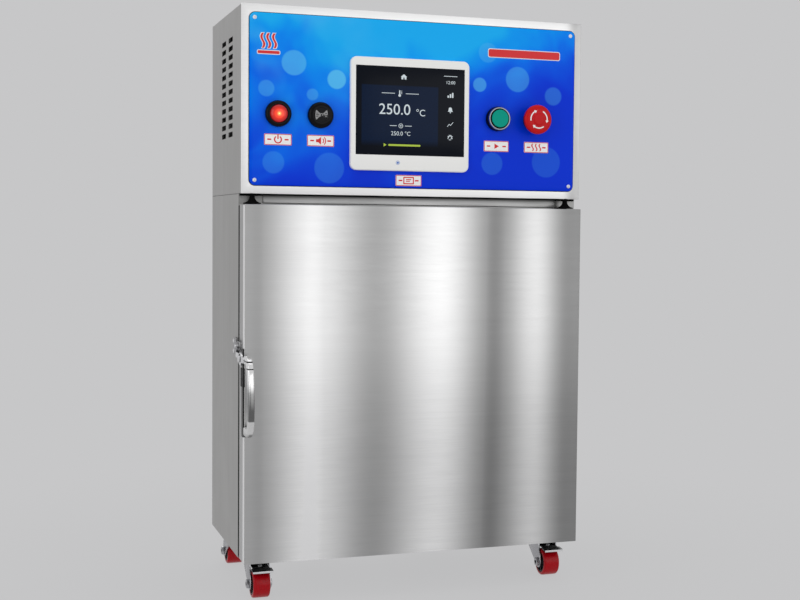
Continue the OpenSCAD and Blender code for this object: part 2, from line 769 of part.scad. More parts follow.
module pivot_bores(z0, z1) bar_z(pivot_x, pivot_y, bush_r + run_gap, z0, z1);

module door_shell() placed() color([0.7, 0.7, 0.7])
  difference() {
    block(door_x0, door_x1, door_y0, door_y1, door_z0, door_z1);
    block(door_x0 + sheet, door_x1 - sheet, door_y0 + sheet, door_y1 + 1, door_z0 + sheet, door_z1 - sheet);
    pivot_bores(door_z0 - 1, door_z1 + 1);
  }

module door_inner_panel() placed() color([0.76, 0.76, 0.76])
  difference() {
    block(door_x0 + sheet, door_x1 - sheet, door_y1 - sheet, door_y1, door_z0 + sheet, door_z1 - sheet);
    pivot_bores(door_z0, door_z0 + bush_l + 1);
    pivot_bores(door_z1 - bush_l - 1, door_z1);
  }

module door_insulation() placed() color([0.86, 0.82, 0.62])
  difference() {
    block(door_x0 + sheet, door_x1 - sheet, door_y0 + sheet, door_y1 - sheet, door_z0 + sheet, door_z1 - sheet);
    pivot_bores(door_z0, door_z0 + bush_l + slide_gap);
    pivot_bores(door_z1 - bush_l - slide_gap, door_z1);
  }

module door_gasket() placed() color([0.12, 0.12, 0.12])
  difference() {
    block(door_x0 + gasket_inset, door_x1 - gasket_inset, door_y1, cab_y0 - slide_gap,
      door_z0 + gasket_inset, door_z1 - gasket_inset);
    block(door_x0 + gasket_inset + gasket_w, door_x1 - gasket_inset - gasket_w, door_y1 - 1, cab_y0,
      door_z0 + gasket_inset + gasket_w, door_z1 - gasket_inset - gasket_w);
  }

module door_bushes() placed() color([0.72, 0.55, 0.28])
  for (z = [door_z0, door_z1 - bush_l])
    difference() {
      bar_z(pivot_x, pivot_y, bush_r, z, z + bush_l);
      bar_z(pivot_x, pivot_y, pivot_r + run_gap, z - 1, z + bush_l + 1);
    }

// Stud under the control box with a flared foot just above the door
module pivot_stud(x, pin_l)
  translate([x, pivot_y, 0]) rotate_extrude() {
    foot_z = door_z1 + 1;
    difference() {
      translate([0, foot_z]) square([12, cab_z1 - foot_z]);
      translate([12.5, foot_z + 10.5]) circle(r = 9, $fn = 64);
    }
    if (pin_l > 0) translate([0, foot_z - pin_l]) square([pivot_r, pin_l + 1]);
  }

// The right stud holds the door's upper pin, and the left one is its blank twin
module upper_pivots() placed() color([0.05, 0.05, 0.05]) {
  pivot_stud(pivot_x, bush_l - 2);
  pivot_stud(door_x0 + 16, 0);
}

// Angle bracket under the door's pivot corner, with the lower pin
module lower_hinge_bracket() placed() color([0.55, 0.55, 0.54]) {
  leg_x1 = pivot_x - 9;
  block(leg_x1 - 30, leg_x1, cab_y0 - bracket_t, cab_y0, cab_z0 - bracket_t, door_z0 + gasket_inset - 2);
  block(leg_x1 - 30, pivot_x + 7, pivot_y, cab_y0, cab_z0 - bracket_t, cab_z0);
  block(leg_x1 - 30, pivot_x, pivot_y - 7, pivot_y + 1, cab_z0 - bracket_t, cab_z0);
  bar_z(pivot_x, pivot_y, 7, cab_z0 - bracket_t, cab_z0);
  bar_z(pivot_x, pivot_y, pivot_r, cab_z0 - 1, cab_z0 + bush_l - 3);
}

// Plate on the door's side with the lever's pin and the rest that the lever closes on
module latch_base() placed() color([0.16, 0.16, 0.17]) {
  foot_z = lever_z - lever_l + lever_t / 2 + 4;
  difference() {
    union() {
      block(door_x0 - lever_plate, door_x0, door_y0 + 1, door_y0 + 20, foot_z - 10, lever_z + 14);
      block(door_x0 - lever_plate, door_x0 + 8, door_y0 - 9, door_y0, foot_z - 8, foot_z + 4);
      block(door_x0 - lever_plate, door_x0, door_y0 - 9, door_y0 + 2, foot_z - 8, foot_z + 4);
    }
    bar_y(door_x0 + 4, foot_z - 2, 1.6, door_y0 - 10, door_y0 - 4);
  }
  bar_x(lever_y, lever_z, lever_pin_r, hub_x0 - slide_gap, door_x0);
  bar_x(lever_y, lever_z, lever_pin_r + 2, hub_x0 - 2.5, hub_x0 - slide_gap);
}

// Bar in front of the door, bent back at both ends, with the hub and tongue beside the door
module latch_lever() placed() color([0.85, 0.85, 0.86])
  difference() {
    union() {
      bend_z = lever_z + lever_t / 2;
      foot_z = bend_z - lever_l;
      mid_bend_y = bar_y0 + lever_bend;
      block(hub_x0, hub_x0 + lever_w, bar_y0, bar_y0 + lever_t, foot_z + lever_bend, bend_z - lever_bend);
      lever_corner(mid_bend_y, bend_z - lever_bend, 90);
      lever_corner(mid_bend_y, foot_z + lever_bend, 180);
      block(hub_x0, hub_x0 + lever_w, mid_bend_y, door_y0 - 9 - slide_gap, foot_z, foot_z + lever_t);
      block(hub_x0, hub_x0 + lever_w, mid_bend_y, lever_wide_y, bend_z - lever_t, bend_z);
      block(hub_x0, hub_x1, lever_wide_y - 1, lever_y, bend_z - lever_t, bend_z);
      bar_x(lever_y, lever_z, 9, hub_x0, hub_x1);
      block(hub_x0, hub_x1, lever_y, lever_y + tongue_l, lever_z, lever_z + 7);
    }
    bar_x(lever_y, lever_z, lever_pin_r + run_gap, hub_x0 - 1, hub_x1 + 1);
  }

// A quarter bend of the lever's bar about an axis across the door
module lever_corner(y, z, turn)
  translate([hub_x0, y, z]) rotate([90, 0, 90]) rotate([0, 0, turn])
    rotate_extrude(angle = 90) translate([lever_bend - lever_t, 0]) square([lever_t, lever_w]);

// Arm on the cabinet's side that holds the roller over the lever's tongue
module keeper_bracket() placed() color([0.8, 0.8, 0.81]) {
  arm_x1 = -half_w - slide_gap;
  arm_x0 = arm_x1 - 1.2;
  block(-half_w - 3, -half_w, cab_y0 + 2, cab_y0 + 24, roller_z - 14, roller_z + 10);
  block(arm_x0, arm_x1, roller_y, cab_y0 + 3, roller_z - 6, roller_z + 9);
  bar_x(roller_y, roller_z, 6, arm_x0, arm_x1);
  bar_x(roller_y, roller_z, 2, arm_x0 - slide_gap - roller_w - 1, arm_x1);
  for (z = [roller_z - 9, roller_z + 5])
    bar_x(cab_y0 + 14, z, 3, -half_w - 5, -half_w - 3);
}

module keeper_roller() placed() color([0.55, 0.55, 0.57])
  difference() {
    x1 = -half_w - slide_gap - 1.2 - slide_gap;
    bar_x(roller_y, roller_z, roller_r, x1 - roller_w, x1);
    bar_x(roller_y, roller_z, 2 + run_gap, x1 - roller_w - 1, x1 + 1);
  }

// Casters, drawn with the swivel axis at the origin and the wheel towards the front

module at_caster(corner)
  translate([corner[0] * caster_x, corner[1] < 0 ? caster_front_y : caster_rear_y, 0])
    rotate([0, 0, corner[1] < 0 ? 0 : 180]) children();

module plate_holes(z0, z1)
  for (sx = [-1, 1], sy = [-1, 1])
    bar_z(sx * plate_bolts / 2, sy * plate_bolts / 2, bolt_r + 0.2, z0, z1);

module caster_plates() placed() color([0.6, 0.6, 0.62])
  for (corner = corners) at_caster(corner) difference() {
    union() {
      block(-plate_s / 2, plate_s / 2, -plate_s / 2, plate_s / 2, plate_z0, cab_z0);
      bar_z(0, 0, 18, plate_z0 - cup_h, plate_z0);
    }
    bar_z(0, 0, kingpin_r + run_gap, plate_z0 - cup_h - 1, cab_z0 - 0.8);
    plate_holes(plate_z0 - 1, cab_z0 + 1);
  }

// Fork with its kingpin, and the axle bolt as a separate solid in it
module caster_fork(corner) placed() at_caster(corner) color([0.66, 0.66, 0.68]) {
  half = fork_gap / 2;
  difference() {
    union() {
      block(-half - cheek_t, half + cheek_t, -trail - 1, fork_back, fork_plate_z, fork_plate_z + 2.5);
      bar_z(0, 0, 17, fork_plate_z, fork_top_z);
      bar_z(0, 0, kingpin_r, fork_plate_z, cab_z0 - 1.2);
      for (x = [-half - cheek_t, half]) translate([x, 0, 0]) cheek();
    }
    bar_x(-trail, wheel_r, axle_r + run_gap, -half - cheek_t - 1, half + cheek_t + 1);
    bar_x(pedal_pin_y, pedal_pin_z, pedal_pin_r + run_gap, -half - cheek_t - 1, half + cheek_t + 1);
  }
  bolt_x = half + cheek_t + run_gap;
  nut_side = corner[1] < 0 ? -1 : 1;
  nut_x = nut_side > 0 ? bolt_x : -bolt_x - nut_h;
  head_x = nut_side > 0 ? -bolt_x - head_h : bolt_x;
  bar_x(-trail, wheel_r, axle_r, min(nut_x, head_x), max(nut_x + nut_h, head_x + head_h));
  translate([nut_x, -trail, wheel_r]) rotate([0, 90, 0]) cylinder(r = axle_r + 2.5, h = nut_h, $fn = 6);
  bar_x(-trail, wheel_r, axle_r + 3, head_x, head_x + head_h);
}

module cheek()
  rotate([90, 0, 90]) linear_extrude(cheek_t) {
    polygon([[fork_back, fork_plate_z + 1], [fork_back, fork_plate_z - 6], [-trail + 7, wheel_r - 5],
      [-trail - 7, wheel_r - 5], [-trail - 8, wheel_r + 4], [-trail - 1, fork_plate_z - 8],
      [-trail - 1, fork_plate_z + 1]]);
    translate([-trail, wheel_r]) circle(r = 8.5);
  }

module at_wheel(corner) at_caster(corner) translate([0, -trail, wheel_r]) rotate([0, 90, 0]) children();

module caster_tyre(corner) placed() at_wheel(corner) color([0.7, 0.04, 0.06])
  rotate_extrude($fn = 96) {
    w = wheel_w / 2;
    edge = min(2, 0.4 * (wheel_r - hub_r));
    translate([hub_r + run_gap, -w]) square([wheel_r - edge - hub_r - run_gap, 2 * w]);
    translate([hub_r + run_gap, -w + edge]) square([wheel_r - hub_r - run_gap, 2 * w - 2 * edge]);
    for (s = [-1, 1]) translate([wheel_r - edge, s * (w - edge)]) circle(r = edge);
  }

module caster_hub(corner) placed() at_wheel(corner) color([0.12, 0.12, 0.13])
  rotate_extrude($fn = 96) {
    bore = axle_r + run_gap;
    w = wheel_w / 2;
    translate([bore, -fork_gap / 2 + slide_gap]) square([4, fork_gap - 2 * slide_gap]);
    translate([bore, -w + 4]) square([hub_r - bore, 2 * w - 8]);
    translate([hub_r - 2.5, -w + 0.5]) square([2.5, 2 * w - 1]);
  }

// Toe pedal that turns on a pin across the fork, over the wheel
module brake_pedal(corner) placed() at_caster(corner) color([0.7, 0.7, 0.72])
  translate([0, pedal_pin_y, pedal_pin_z]) {
    w = fork_gap / 2 - slide_gap;
    bar_x(0, 0, 3, -w, w);
    bar_x(0, 0, pedal_pin_r, -w - cheek_t, w + cheek_t);
    rotate([pedal_slope, 0, 0]) {
      block(-w + 1, w - 1, -pedal_l - 1.5, 0, 0.5, 2.5);
      block(-toe_w / 2, toe_w / 2, -pedal_l - 1.5, toe_l - pedal_l, 0.5, 2.5);
      block(-toe_w / 2, toe_w / 2, -pedal_l - 1.5, -pedal_l, -0.5, 1);
    }
  }

// Which piece is drawn

cabinet_shell();
base_pan();
cabinet_back_cover();
front_frame();
chamber();
insulation();
shelf_ladders();
shelves();
heaters();
temperature_probe();
fan_motor();
air_baffle();
control_box_shell();
control_box_back_cover();
front_fascia();
graphic_panel();
hmi_housing();
hmi_screen();
lamp_body();
lamp_lens();
buzzer_body();
start_button_bezel();
start_button_body();
estop_collar();
contact_blocks();
label_plates();
fasteners();
cable_gland();
power_supply();
solid_state_relay();
keeper_bracket();
upper_pivots();
lower_hinge_bracket();
caster_plates();
fan_rotor();
start_button_cap();
estop_stem();
estop_head();
door_shell();
door_inner_panel();
door_insulation();
door_gasket();
door_bushes();
latch_base();
latch_lever();
keeper_roller();
caster_fork(front_left);  // caster_fork_front_left
caster_fork(front_right);  // caster_fork_front_right
caster_fork(rear_left);  // caster_fork_rear_left
caster_fork(rear_right);  // caster_fork_rear_right
caster_tyre(front_left);  // caster_tyre_front_left
caster_tyre(front_right);  // caster_tyre_front_right
caster_tyre(rear_left);  // caster_tyre_rear_left
caster_tyre(rear_right);  // caster_tyre_rear_right
caster_hub(front_left);  // caster_hub_front_left
caster_hub(front_right);  // caster_hub_front_right
caster_hub(rear_left);  // caster_hub_rear_left
caster_hub(rear_right);  // caster_hub_rear_right
brake_pedal(front_left);  // brake_pedal_left
brake_pedal(front_right);  // brake_pedal_right
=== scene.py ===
# %% [markdown]
# # A dry heat sterilizer, dressed step by step
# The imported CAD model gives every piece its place. This lesson gives the pieces
# their surfaces and models again those that need rounder edges or finer parts.
# Everything is in metres: X to the right, Y from the door to the back, Z up.

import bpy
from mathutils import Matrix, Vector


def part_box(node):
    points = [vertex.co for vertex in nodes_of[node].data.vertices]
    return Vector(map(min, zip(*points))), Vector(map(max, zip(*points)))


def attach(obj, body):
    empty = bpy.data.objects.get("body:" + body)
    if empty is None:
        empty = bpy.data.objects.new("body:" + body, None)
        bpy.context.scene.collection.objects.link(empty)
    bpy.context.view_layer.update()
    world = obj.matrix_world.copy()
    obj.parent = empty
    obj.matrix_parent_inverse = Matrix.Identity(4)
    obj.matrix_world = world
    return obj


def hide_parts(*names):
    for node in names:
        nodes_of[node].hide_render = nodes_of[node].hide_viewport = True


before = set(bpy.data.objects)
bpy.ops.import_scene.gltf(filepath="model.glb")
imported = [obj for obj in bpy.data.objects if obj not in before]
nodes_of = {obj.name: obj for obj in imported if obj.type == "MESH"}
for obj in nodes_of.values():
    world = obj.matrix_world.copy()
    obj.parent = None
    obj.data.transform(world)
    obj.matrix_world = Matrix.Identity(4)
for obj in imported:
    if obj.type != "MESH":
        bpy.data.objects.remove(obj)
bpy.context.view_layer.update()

# %% Tools from Blender
import math

import bmesh
import bpy
from mathutils import Matrix, Vector

MM = 0.001
print(len(nodes_of), "pieces in the frame")

# %% [markdown]
# ## Camera
# The photograph was taken from the left, a little above the middle of the door.
# A long lens keeps the upright edges nearly parallel. The small shift keeps the
# oven where the photograph has it without turning the camera.

# %% The photographer's camera
CAMERA_PLACE = (-0.5819, -1.9551, 0.5219)
CAMERA_YAW, CAMERA_PITCH, CAMERA_ROLL = 19.445, 2.967, 0.605
camera_data = bpy.data.cameras.new("photo_camera")
camera_data.sensor_width = 36
camera_data.lens = 61.91
camera_data.shift_x = -0.0798
camera_data.shift_y = -0.0033
camera = bpy.data.objects.new("photo_camera", camera_data)
bpy.context.scene.collection.objects.link(camera)
camera.matrix_world = (
    Matrix.Translation(CAMERA_PLACE)
    @ Matrix.Rotation(math.radians(-CAMERA_YAW), 4, "Z")
    @ Matrix.Rotation(math.radians(90 - CAMERA_PITCH), 4, "X")
    @ Matrix.Rotation(math.radians(CAMERA_ROLL), 4, "Z")
)
bpy.context.scene.camera = camera
print("camera at", CAMERA_PLACE)

# %% [markdown]
# ## Tools for shader nodes
# Each helper adds one node to a tree. An input takes either a plain value or the
# output of another node.

# %% Helpers for shader nodes
def feed(tree, node, inputs):
    """Links or sets the inputs of a node, by their names or numbers."""
    for label, value in inputs.items():
        if hasattr(value, "is_output"):
            tree.links.new(value, node.inputs[label])
        else:
            node.inputs[label].default_value = value


def new_node(tree, kind, inputs, **settings):
    node = tree.nodes.new("ShaderNode" + kind)
    for key, value in settings.items():
        setattr(node, key, value)
    feed(tree, node, inputs)
    return node


def math_node(tree, operation, first, second, clamp=False):
    inputs = {0: first, 1: second}
    return new_node(tree, "Math", inputs, operation=operation, use_clamp=clamp).outputs[0]


def spread(tree, value, low, high, from_low=0.0, from_high=1.0):
    """Maps a value from one range to another."""
    inputs = {"Value": value, "From Min": from_low, "From Max": from_high, "To Min": low, "To Max": high}
    return new_node(tree, "MapRange", inputs).outputs[0]


def noise(tree, place, scale, detail=2.0, distortion=0.0):
    """Soft noise from 0 to 1."""
    inputs = {"Vector": place, "Scale": scale, "Detail": detail, "Distortion": distortion}
    return new_node(tree, "TexNoise", inputs).outputs["Fac"]


def distance_to(tree, place, centre):
    inputs = {0: place, 1: centre}
    return new_node(tree, "VectorMath", inputs, operation="DISTANCE").outputs["Value"]


def mix_colours(tree, factor, first, second, blend="MIX"):
    inputs = {"Factor": factor, 6: first, 7: second}
    return new_node(tree, "Mix", inputs, data_type="RGBA", blend_type=blend).outputs[2]


def colour_ramp(tree, factor, stops, interpolation="LINEAR"):
    """A colour ramp with a list of positions and colours."""
    ramp = new_node(tree, "ValToRGB", {"Fac": factor})
    ramp.color_ramp.interpolation = interpolation
    bands = ramp.color_ramp.elements
    bands[0].position, bands[0].color = stops[0]
    bands[1].position, bands[1].color = stops[-1]
    for position, colour in stops[1:-1]:
        bands.new(position).color = colour
    return ramp.outputs["Color"]


# %% [markdown]
# ## Studio
# Brushed steel shows what stands around it, so the room matters more than the
# lamps. A pale grey room is seen by the camera and by every reflection, and big
# soft lamps in front of the oven put the broad light on its door.

# %% Room and lamps
ROOM_GREY = (0.571, 0.571, 0.578, 1)
FILL_STRENGTH = 0.6
scene = bpy.context.scene
scene.view_settings.view_transform = "Standard"
world = bpy.data.worlds.new("studio_room")
scene.world = world
world.use_nodes = True
tree = world.node_tree
tree.nodes.clear()
world_out = tree.nodes.new("ShaderNodeOutputWorld")
room = new_node(tree, "Background", {"Color": ROOM_GREY, "Strength": 1.0})
fill = new_node(tree, "Background", {"Color": (1, 1, 1, 1), "Strength": FILL_STRENGTH})
rays = new_node(tree, "LightPath", {}).outputs
seen = math_node(tree, "MAXIMUM", rays["Is Camera Ray"], rays["Is Glossy Ray"])
seen = math_node(tree, "MAXIMUM", seen, rays["Is Transmission Ray"])
world_mix = new_node(tree, "MixShader", {"Fac": seen, 1: fill.outputs[0], 2: room.outputs[0]})
feed(tree, world_out, {"Surface": world_mix.outputs[0]})


def soft_lamp(name, place, aim, width, height, watts):
    """A rectangular soft lamp at place, turned towards aim."""
    data = bpy.data.lights.new(name, "AREA")
    data.shape = "RECTANGLE"
    data.size = width
    data.size_y = height
    data.energy = watts
    lamp = bpy.data.objects.new(name, data)
    scene.collection.objects.link(lamp)
    direction = Vector(aim) - Vector(place)
    turn = direction.to_track_quat("-Z", "Y").to_matrix().to_4x4()
    lamp.matrix_world = Matrix.Translation(place) @ turn


MIDDLE = (0, 0, 0.45)
soft_lamp("front_right_lamp", (1.5, -3.0, 0.6), MIDDLE, 3.6, 3.0, 26)
soft_lamp("front_left_lamp", (-2.3, -1.5, 0.9), MIDDLE, 1.8, 2.4, 12)
soft_lamp("top_lamp", (0, -0.2, 2.6), MIDDLE, 2.4, 2.0, 8)
soft_lamp("back_lamp", (0.6, 2.4, 1.4), MIDDLE, 2.0, 2.0, 12)
print(len(bpy.data.lights), "lamps")

# %% [markdown]
# ## Tools for shaping
# Each new piece starts as a primitive at its size and place. These helpers pick
# faces by their place, as one would by eye, and apply the modifiers.

# %% Helpers for modelling
def deselect_all():
    if bpy.context.object and bpy.context.object.mode != "OBJECT":
        bpy.ops.object.mode_set(mode="OBJECT")
    bpy.ops.object.select_all(action="DESELECT")


def make_active(piece):
    deselect_all()
    bpy.context.view_layer.objects.active = piece
    piece.select_set(True)


def start_edit(piece):
    make_active(piece)
    bpy.ops.object.mode_set(mode="EDIT")


def end_edit():
    bpy.ops.object.mode_set(mode="OBJECT")


def pick(piece, kind, test):
    """Selects the edges or faces that pass the test, in edit mode."""
    bpy.ops.mesh.select_mode(type=kind)
    mesh = bmesh.from_edit_mesh(piece.data)
    elements = mesh.faces if kind == "FACE" else mesh.edges
    for element in elements:
        element.select_set(False)
    for element in elements:
        if test(element):
            element.select_set(True)
    bmesh.update_edit_mesh(piece.data)


def pick_faces(piece, test):
    """Selects the faces whose centre and normal pass the test."""
    pick(piece, "FACE", lambda face: test(face.calc_center_median(), face.normal))


def pick_edges(piece, test):
    """Selects the edges whose two ends pass the test."""
    pick(piece, "EDGE", lambda edge: test(edge.verts[0].co, edge.verts[1].co))


def open_faces(piece, test):
    """Deletes the faces whose centre and normal pass the test."""
    start_edit(piece)
    pick_faces(piece, test)
    bpy.ops.mesh.delete(type="FACE")
    end_edit()


def round_picked(piece, test, radius, segments):
    """Rounds the edges whose two ends pass the test."""
    start_edit(piece)
    pick_edges(piece, test)
    bpy.ops.mesh.bevel(offset=radius, segments=segments)
    end_edit()


def close_seams():
    """Merges doubled points and turns the faces outwards, in edit mode."""
    bpy.ops.mesh.select_all(action="SELECT")
    bpy.ops.mesh.remove_doubles(threshold=1e-6)
    bpy.ops.mesh.normals_make_consistent(inside=False)


def named(piece, name):
    piece.name = name
    piece.data.name = name
    return piece


def apply_transform(piece):
    make_active(piece)
    bpy.ops.object.transform_apply(location=True, rotation=True, scale=True)


def block(name, low, high):
    """A cube primitive stretched between two corners."""
    deselect_all()
    centre = [(a + b) / 2 for a, b in zip(low, high)]
    size = [abs(b - a) for a, b in zip(low, high)]
    bpy.ops.mesh.primitive_cube_add(size=1, location=centre, scale=size)
    piece = named(bpy.context.object, name)
    apply_transform(piece)
    return piece


def apply_modifier(piece, kind, **settings):
    make_active(piece)
    modifier = piece.modifiers.new(kind.lower(), kind)
    for key, value in settings.items():
        setattr(modifier, key, value)
    bpy.ops.object.modifier_apply(modifier=modifier.name)


def round_edges(piece, width, segments=3, angle=30):
    apply_modifier(piece, "BEVEL", width=width, segments=segments, limit_method="ANGLE",
                   angle_limit=math.radians(angle), harden_normals=False)


def rounded_block(name, low, high, *rounding):
    piece = block(name, low, high)
    round_edges(piece, *rounding)
    return piece


def paint(piece, material):
    piece.data.materials.append(material)


def smooth(piece, angle=35):
    make_active(piece)
    bpy.ops.object.shade_smooth_by_angle(angle=math.radians(angle))


def turned(name, foot, axis, profile, sides=64, closed=False):
    """Extrudes and scales a circle along an axis. The profile lists heights and radii."""
    deselect_all()
    height, radius = profile[0]
    bpy.ops.mesh.primitive_circle_add(vertices=sides, radius=radius, location=(0, 0, height),
                                      fill_type="NOTHING" if closed else "NGON")
    piece = named(bpy.context.object, name)
    apply_transform(piece)
    start_edit(piece)
    bpy.ops.mesh.select_all(action="SELECT")
    for next_height, next_radius in profile[1:]:
        rise = {"value": (0, 0, next_height - height)}
        bpy.ops.mesh.extrude_region_move(TRANSFORM_OT_translate=rise)
        ratio = next_radius / radius
        bpy.ops.transform.resize(value=(ratio, ratio, 1), center_override=(0, 0, next_height))
        height, radius = next_height, next_radius
    close_seams()
    end_edit()
    turn = Vector((0, 0, 1)).rotation_difference(Vector(axis)).to_matrix().to_4x4()
    piece.matrix_world = Matrix.Translation(foot) @ turn
    apply_transform(piece)
    return piece


def copy_piece(piece, name, move=(0, 0, 0)):
    """A copy with a mesh of its own, moved by a vector."""
    twin = piece.copy()
    twin.data = piece.data.copy()
    named(twin, name)
    scene.collection.objects.link(twin)
    twin.data.transform(Matrix.Translation(move))
    return twin


def join_pieces(name, pieces):
    deselect_all()
    for piece in pieces:
        piece.select_set(True)
    bpy.context.view_layer.objects.active = pieces[0]
    if len(pieces) > 1:
        bpy.ops.object.join()
    return named(bpy.context.object, name)


def finish_piece(piece, body, slot, material, *replaced, angle=35):
    """Gives a piece its finish and body, and hides what it stands for."""
    smooth(piece, angle)
    if material is not None:
        piece.data.materials.clear()
        paint(piece, material)
    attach(piece, body)
    if replaced:
        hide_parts(*replaced)
    print(piece.name, len(piece.data.polygons), "faces")


# %% [markdown]
# ## Effects that several finishes share
# Grain and handling marks are built once as node groups. A group gives only
# values, and each material decides what they change.

# %% Node groups
def new_group(name, inputs, outputs):
    """A node group; its sockets are given by label and kind."""
    group = bpy.data.node_groups.new(name, "ShaderNodeTree")
    for in_out, sockets in (("INPUT", inputs), ("OUTPUT", outputs)):
        for label, kind in sockets.items():
            group.interface.new_socket(name=label, in_out=in_out, socket_type="NodeSocket" + kind)
    return group, group.nodes.new("NodeGroupInput").outputs, group.nodes.new("NodeGroupOutput")


grain_group, grain_in, grain_out = new_group(
    "brushed_grain", {"Vector": "Vector", "Stretch": "Vector", "Broad": "Float"},
    {"Grain": "Float", "Fine": "Float"})
stretched = new_node(grain_group, "VectorMath", {0: grain_in["Vector"], 1: grain_in["Stretch"]},
                     operation="MULTIPLY").outputs[0]
fine = noise(grain_group, stretched, 1.0, 3.0)
broad = noise(grain_group, stretched, 0.13)
broad_part = math_node(grain_group, "MULTIPLY", broad, grain_in["Broad"])
rest = math_node(grain_group, "SUBTRACT", 1.0, grain_in["Broad"])
fine_part = math_node(grain_group, "MULTIPLY", fine, rest)
both = math_node(grain_group, "ADD", broad_part, fine_part)
feed(grain_group, grain_out, {"Grain": both, "Fine": fine})

marks_group, marks_in, marks_out = new_group(
    "handling_marks", {"Vector": "Vector", "Scale": "Float"}, {"Smudge": "Float"})
cloud = noise(marks_group, marks_in["Vector"], marks_in["Scale"], 5.0, 0.8)
feed(marks_group, marks_out, {"Smudge": spread(marks_group, cloud, 0, 1, 0.45, 0.7)})
print(len(bpy.data.node_groups), "node groups")

# %% [markdown]
# ## Finishes
# Brushed sheet is a metal whose fine lines run one way. The lines change the
# roughness and the bump a little, and slow soft noise changes the tone at random.
# On the door, the rail strip and the fascia, soft bands in the tone are painted
# reflections and painted shade.

# %% Helpers for finishes
def new_material(name):
    material = bpy.data.materials.new(name)
    material.use_nodes = True
    tree = material.node_tree
    shader = tree.nodes["Principled BSDF"]
    place = tree.nodes.new("ShaderNodeTexCoord").outputs["Object"]
    return material, tree, shader, place


def add_bump(tree, shader, height, strength, distance=0.0002):
    inputs = {"Strength": strength, "Distance": distance, "Height": height}
    feed(tree, shader, {"Normal": new_node(tree, "Bump", inputs).outputs[0]})


def grain_of(tree, place, stretch, broad):
    """The lines of brushed steel: all of them, and the fine ones alone."""
    inputs = {"Vector": place, "Stretch": stretch, "Broad": broad}
    lines = new_node(tree, "Group", inputs, node_tree=grain_group).outputs
    return lines["Grain"], lines["Fine"]


def smudges(tree, place, scale):
    """Faint marks of handling, from 0 to 1."""
    inputs = {"Vector": place, "Scale": scale}
    return new_node(tree, "Group", inputs, node_tree=marks_group).outputs["Smudge"]


def marked_roughness(tree, grain, middle, swing, smudge, marks):
    """Roughness that follows the grain, with smudges on top."""
    rough = spread(tree, grain, middle - swing, middle + swing, 0.3, 0.7)
    return math_node(tree, "ADD", rough, math_node(tree, "MULTIPLY", smudge, marks), clamp=True)


def two_tones(colour, contrast):
    """A darker and a lighter twin of a colour."""
    dark = tuple(c * (1 - contrast) for c in colour) + (1,)
    return dark, tuple(min(1.0, c * (1 + contrast)) for c in colour) + (1,)


def grey(level):
    return (level, level, level * 0.995, 1)


ALONG_X = (25, 900, 900)
ALONG_Z = (900, 900, 25)
ALONG_Y = (900, 25, 900)


def brushed_metal(name, colour, roughness, stretch=ALONG_Z, contrast=0.08, bump=0.12):
    material, tree, shader, place = new_material(name)
    grain, fine = grain_of(tree, place, stretch, 0.45)
    tone = mix_colours(tree, spread(tree, grain, 0, 1, 0.3, 0.7), *two_tones(colour, contrast))
    rough = marked_roughness(tree, fine, roughness, 0.05, smudges(tree, place, 7.0), 0.05)
    feed(tree, shader, {"Base Color": tone, "Roughness": rough, "Metallic": 1.0})
    add_bump(tree, shader, fine, bump)
    return material


def plain_finish(name, colour, roughness, metallic=0.0, coat=0.0, texture=400.0, bump=0.08,
                 contrast=0.06, marks=0.08, specular=0.4):
    """Moulded plastic, enamel or plated metal with a fine skin."""
    material, tree, shader, place = new_material(name)
    skin = noise(tree, place, texture, 4.0)
    tone = mix_colours(tree, skin, *two_tones(colour, contrast))
    rough = marked_roughness(tree, skin, roughness, 0.04, smudges(tree, place, 15.0), marks)
    feed(tree, shader, {"Base Color": tone, "Roughness": rough, "Metallic": metallic,
                        "Coat Weight": coat, "Specular IOR Level": 0.5 if metallic else specular})
    add_bump(tree, shader, skin, bump)
    return material


# %% Steel with painted reflection and shade bands
def painted_band_steel(name, stops, low, high, axis="X", roughness=0.34):
    """Brushed sheet whose tone changes along one axis in soft bands of painted reflection and shade."""
    material, tree, shader, place = new_material(name)
    split = new_node(tree, "SeparateXYZ", {0: place}).outputs
    sway = 0.025 * (high - low)
    drift = spread(tree, noise(tree, place, 2.2, 1.0), -sway, sway)
    across = spread(tree, math_node(tree, "ADD", split[axis], drift), 0, 1, low, high)
    bands = colour_ramp(tree, across, [(at, grey(level)) for at, level in stops], "CARDINAL")
    grain, fine = grain_of(tree, place, ALONG_X, 0.35)
    lines = spread(tree, grain, 0.965, 1.035, 0.3, 0.7)
    # Painted light: along X the tone is lifted towards the foot of the sheet, up to 13 % lighter.
    if axis == "X":
        rise = spread(tree, split["Z"], 1.13, 0.96, 0.06, 0.56)
        lines = math_node(tree, "MULTIPLY", lines, rise)
    lines = new_node(tree, "CombineColor", {0: lines, 1: lines, 2: lines}).outputs[0]
    tone = mix_colours(tree, 1.0, bands, lines, blend="MULTIPLY")
    rough = marked_roughness(tree, fine, roughness, 0.05, smudges(tree, place, 4.0), 0.05)
    feed(tree, shader, {"Base Color": tone, "Roughness": rough, "Metallic": 1.0})
    add_bump(tree, shader, fine, 0.1)
    return material


# The door's tone bands are painted reflections of the room and the lamps.
DOOR_PAINTED_REFLECTIONS = [(0.0, 0.46), (0.05, 0.46), (0.16, 0.9), (0.22, 0.82), (0.37, 0.38), (0.56, 0.86),
              (0.7, 0.31), (0.76, 0.32), (0.86, 0.7), (0.94, 0.32), (1.0, 0.26)]
door_low, door_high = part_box("door_shell")
door_steel = painted_band_steel("door_steel_painted_reflections", DOOR_PAINTED_REFLECTIONS, door_low.x, door_high.x)
body_steel = brushed_metal("cabinet_brushed_steel", (0.43, 0.425, 0.415), 0.36, ALONG_Z)
edge_painted_highlight = brushed_metal("door_edge_painted_highlight", (0.98, 0.98, 0.975), 0.5, ALONG_Z)
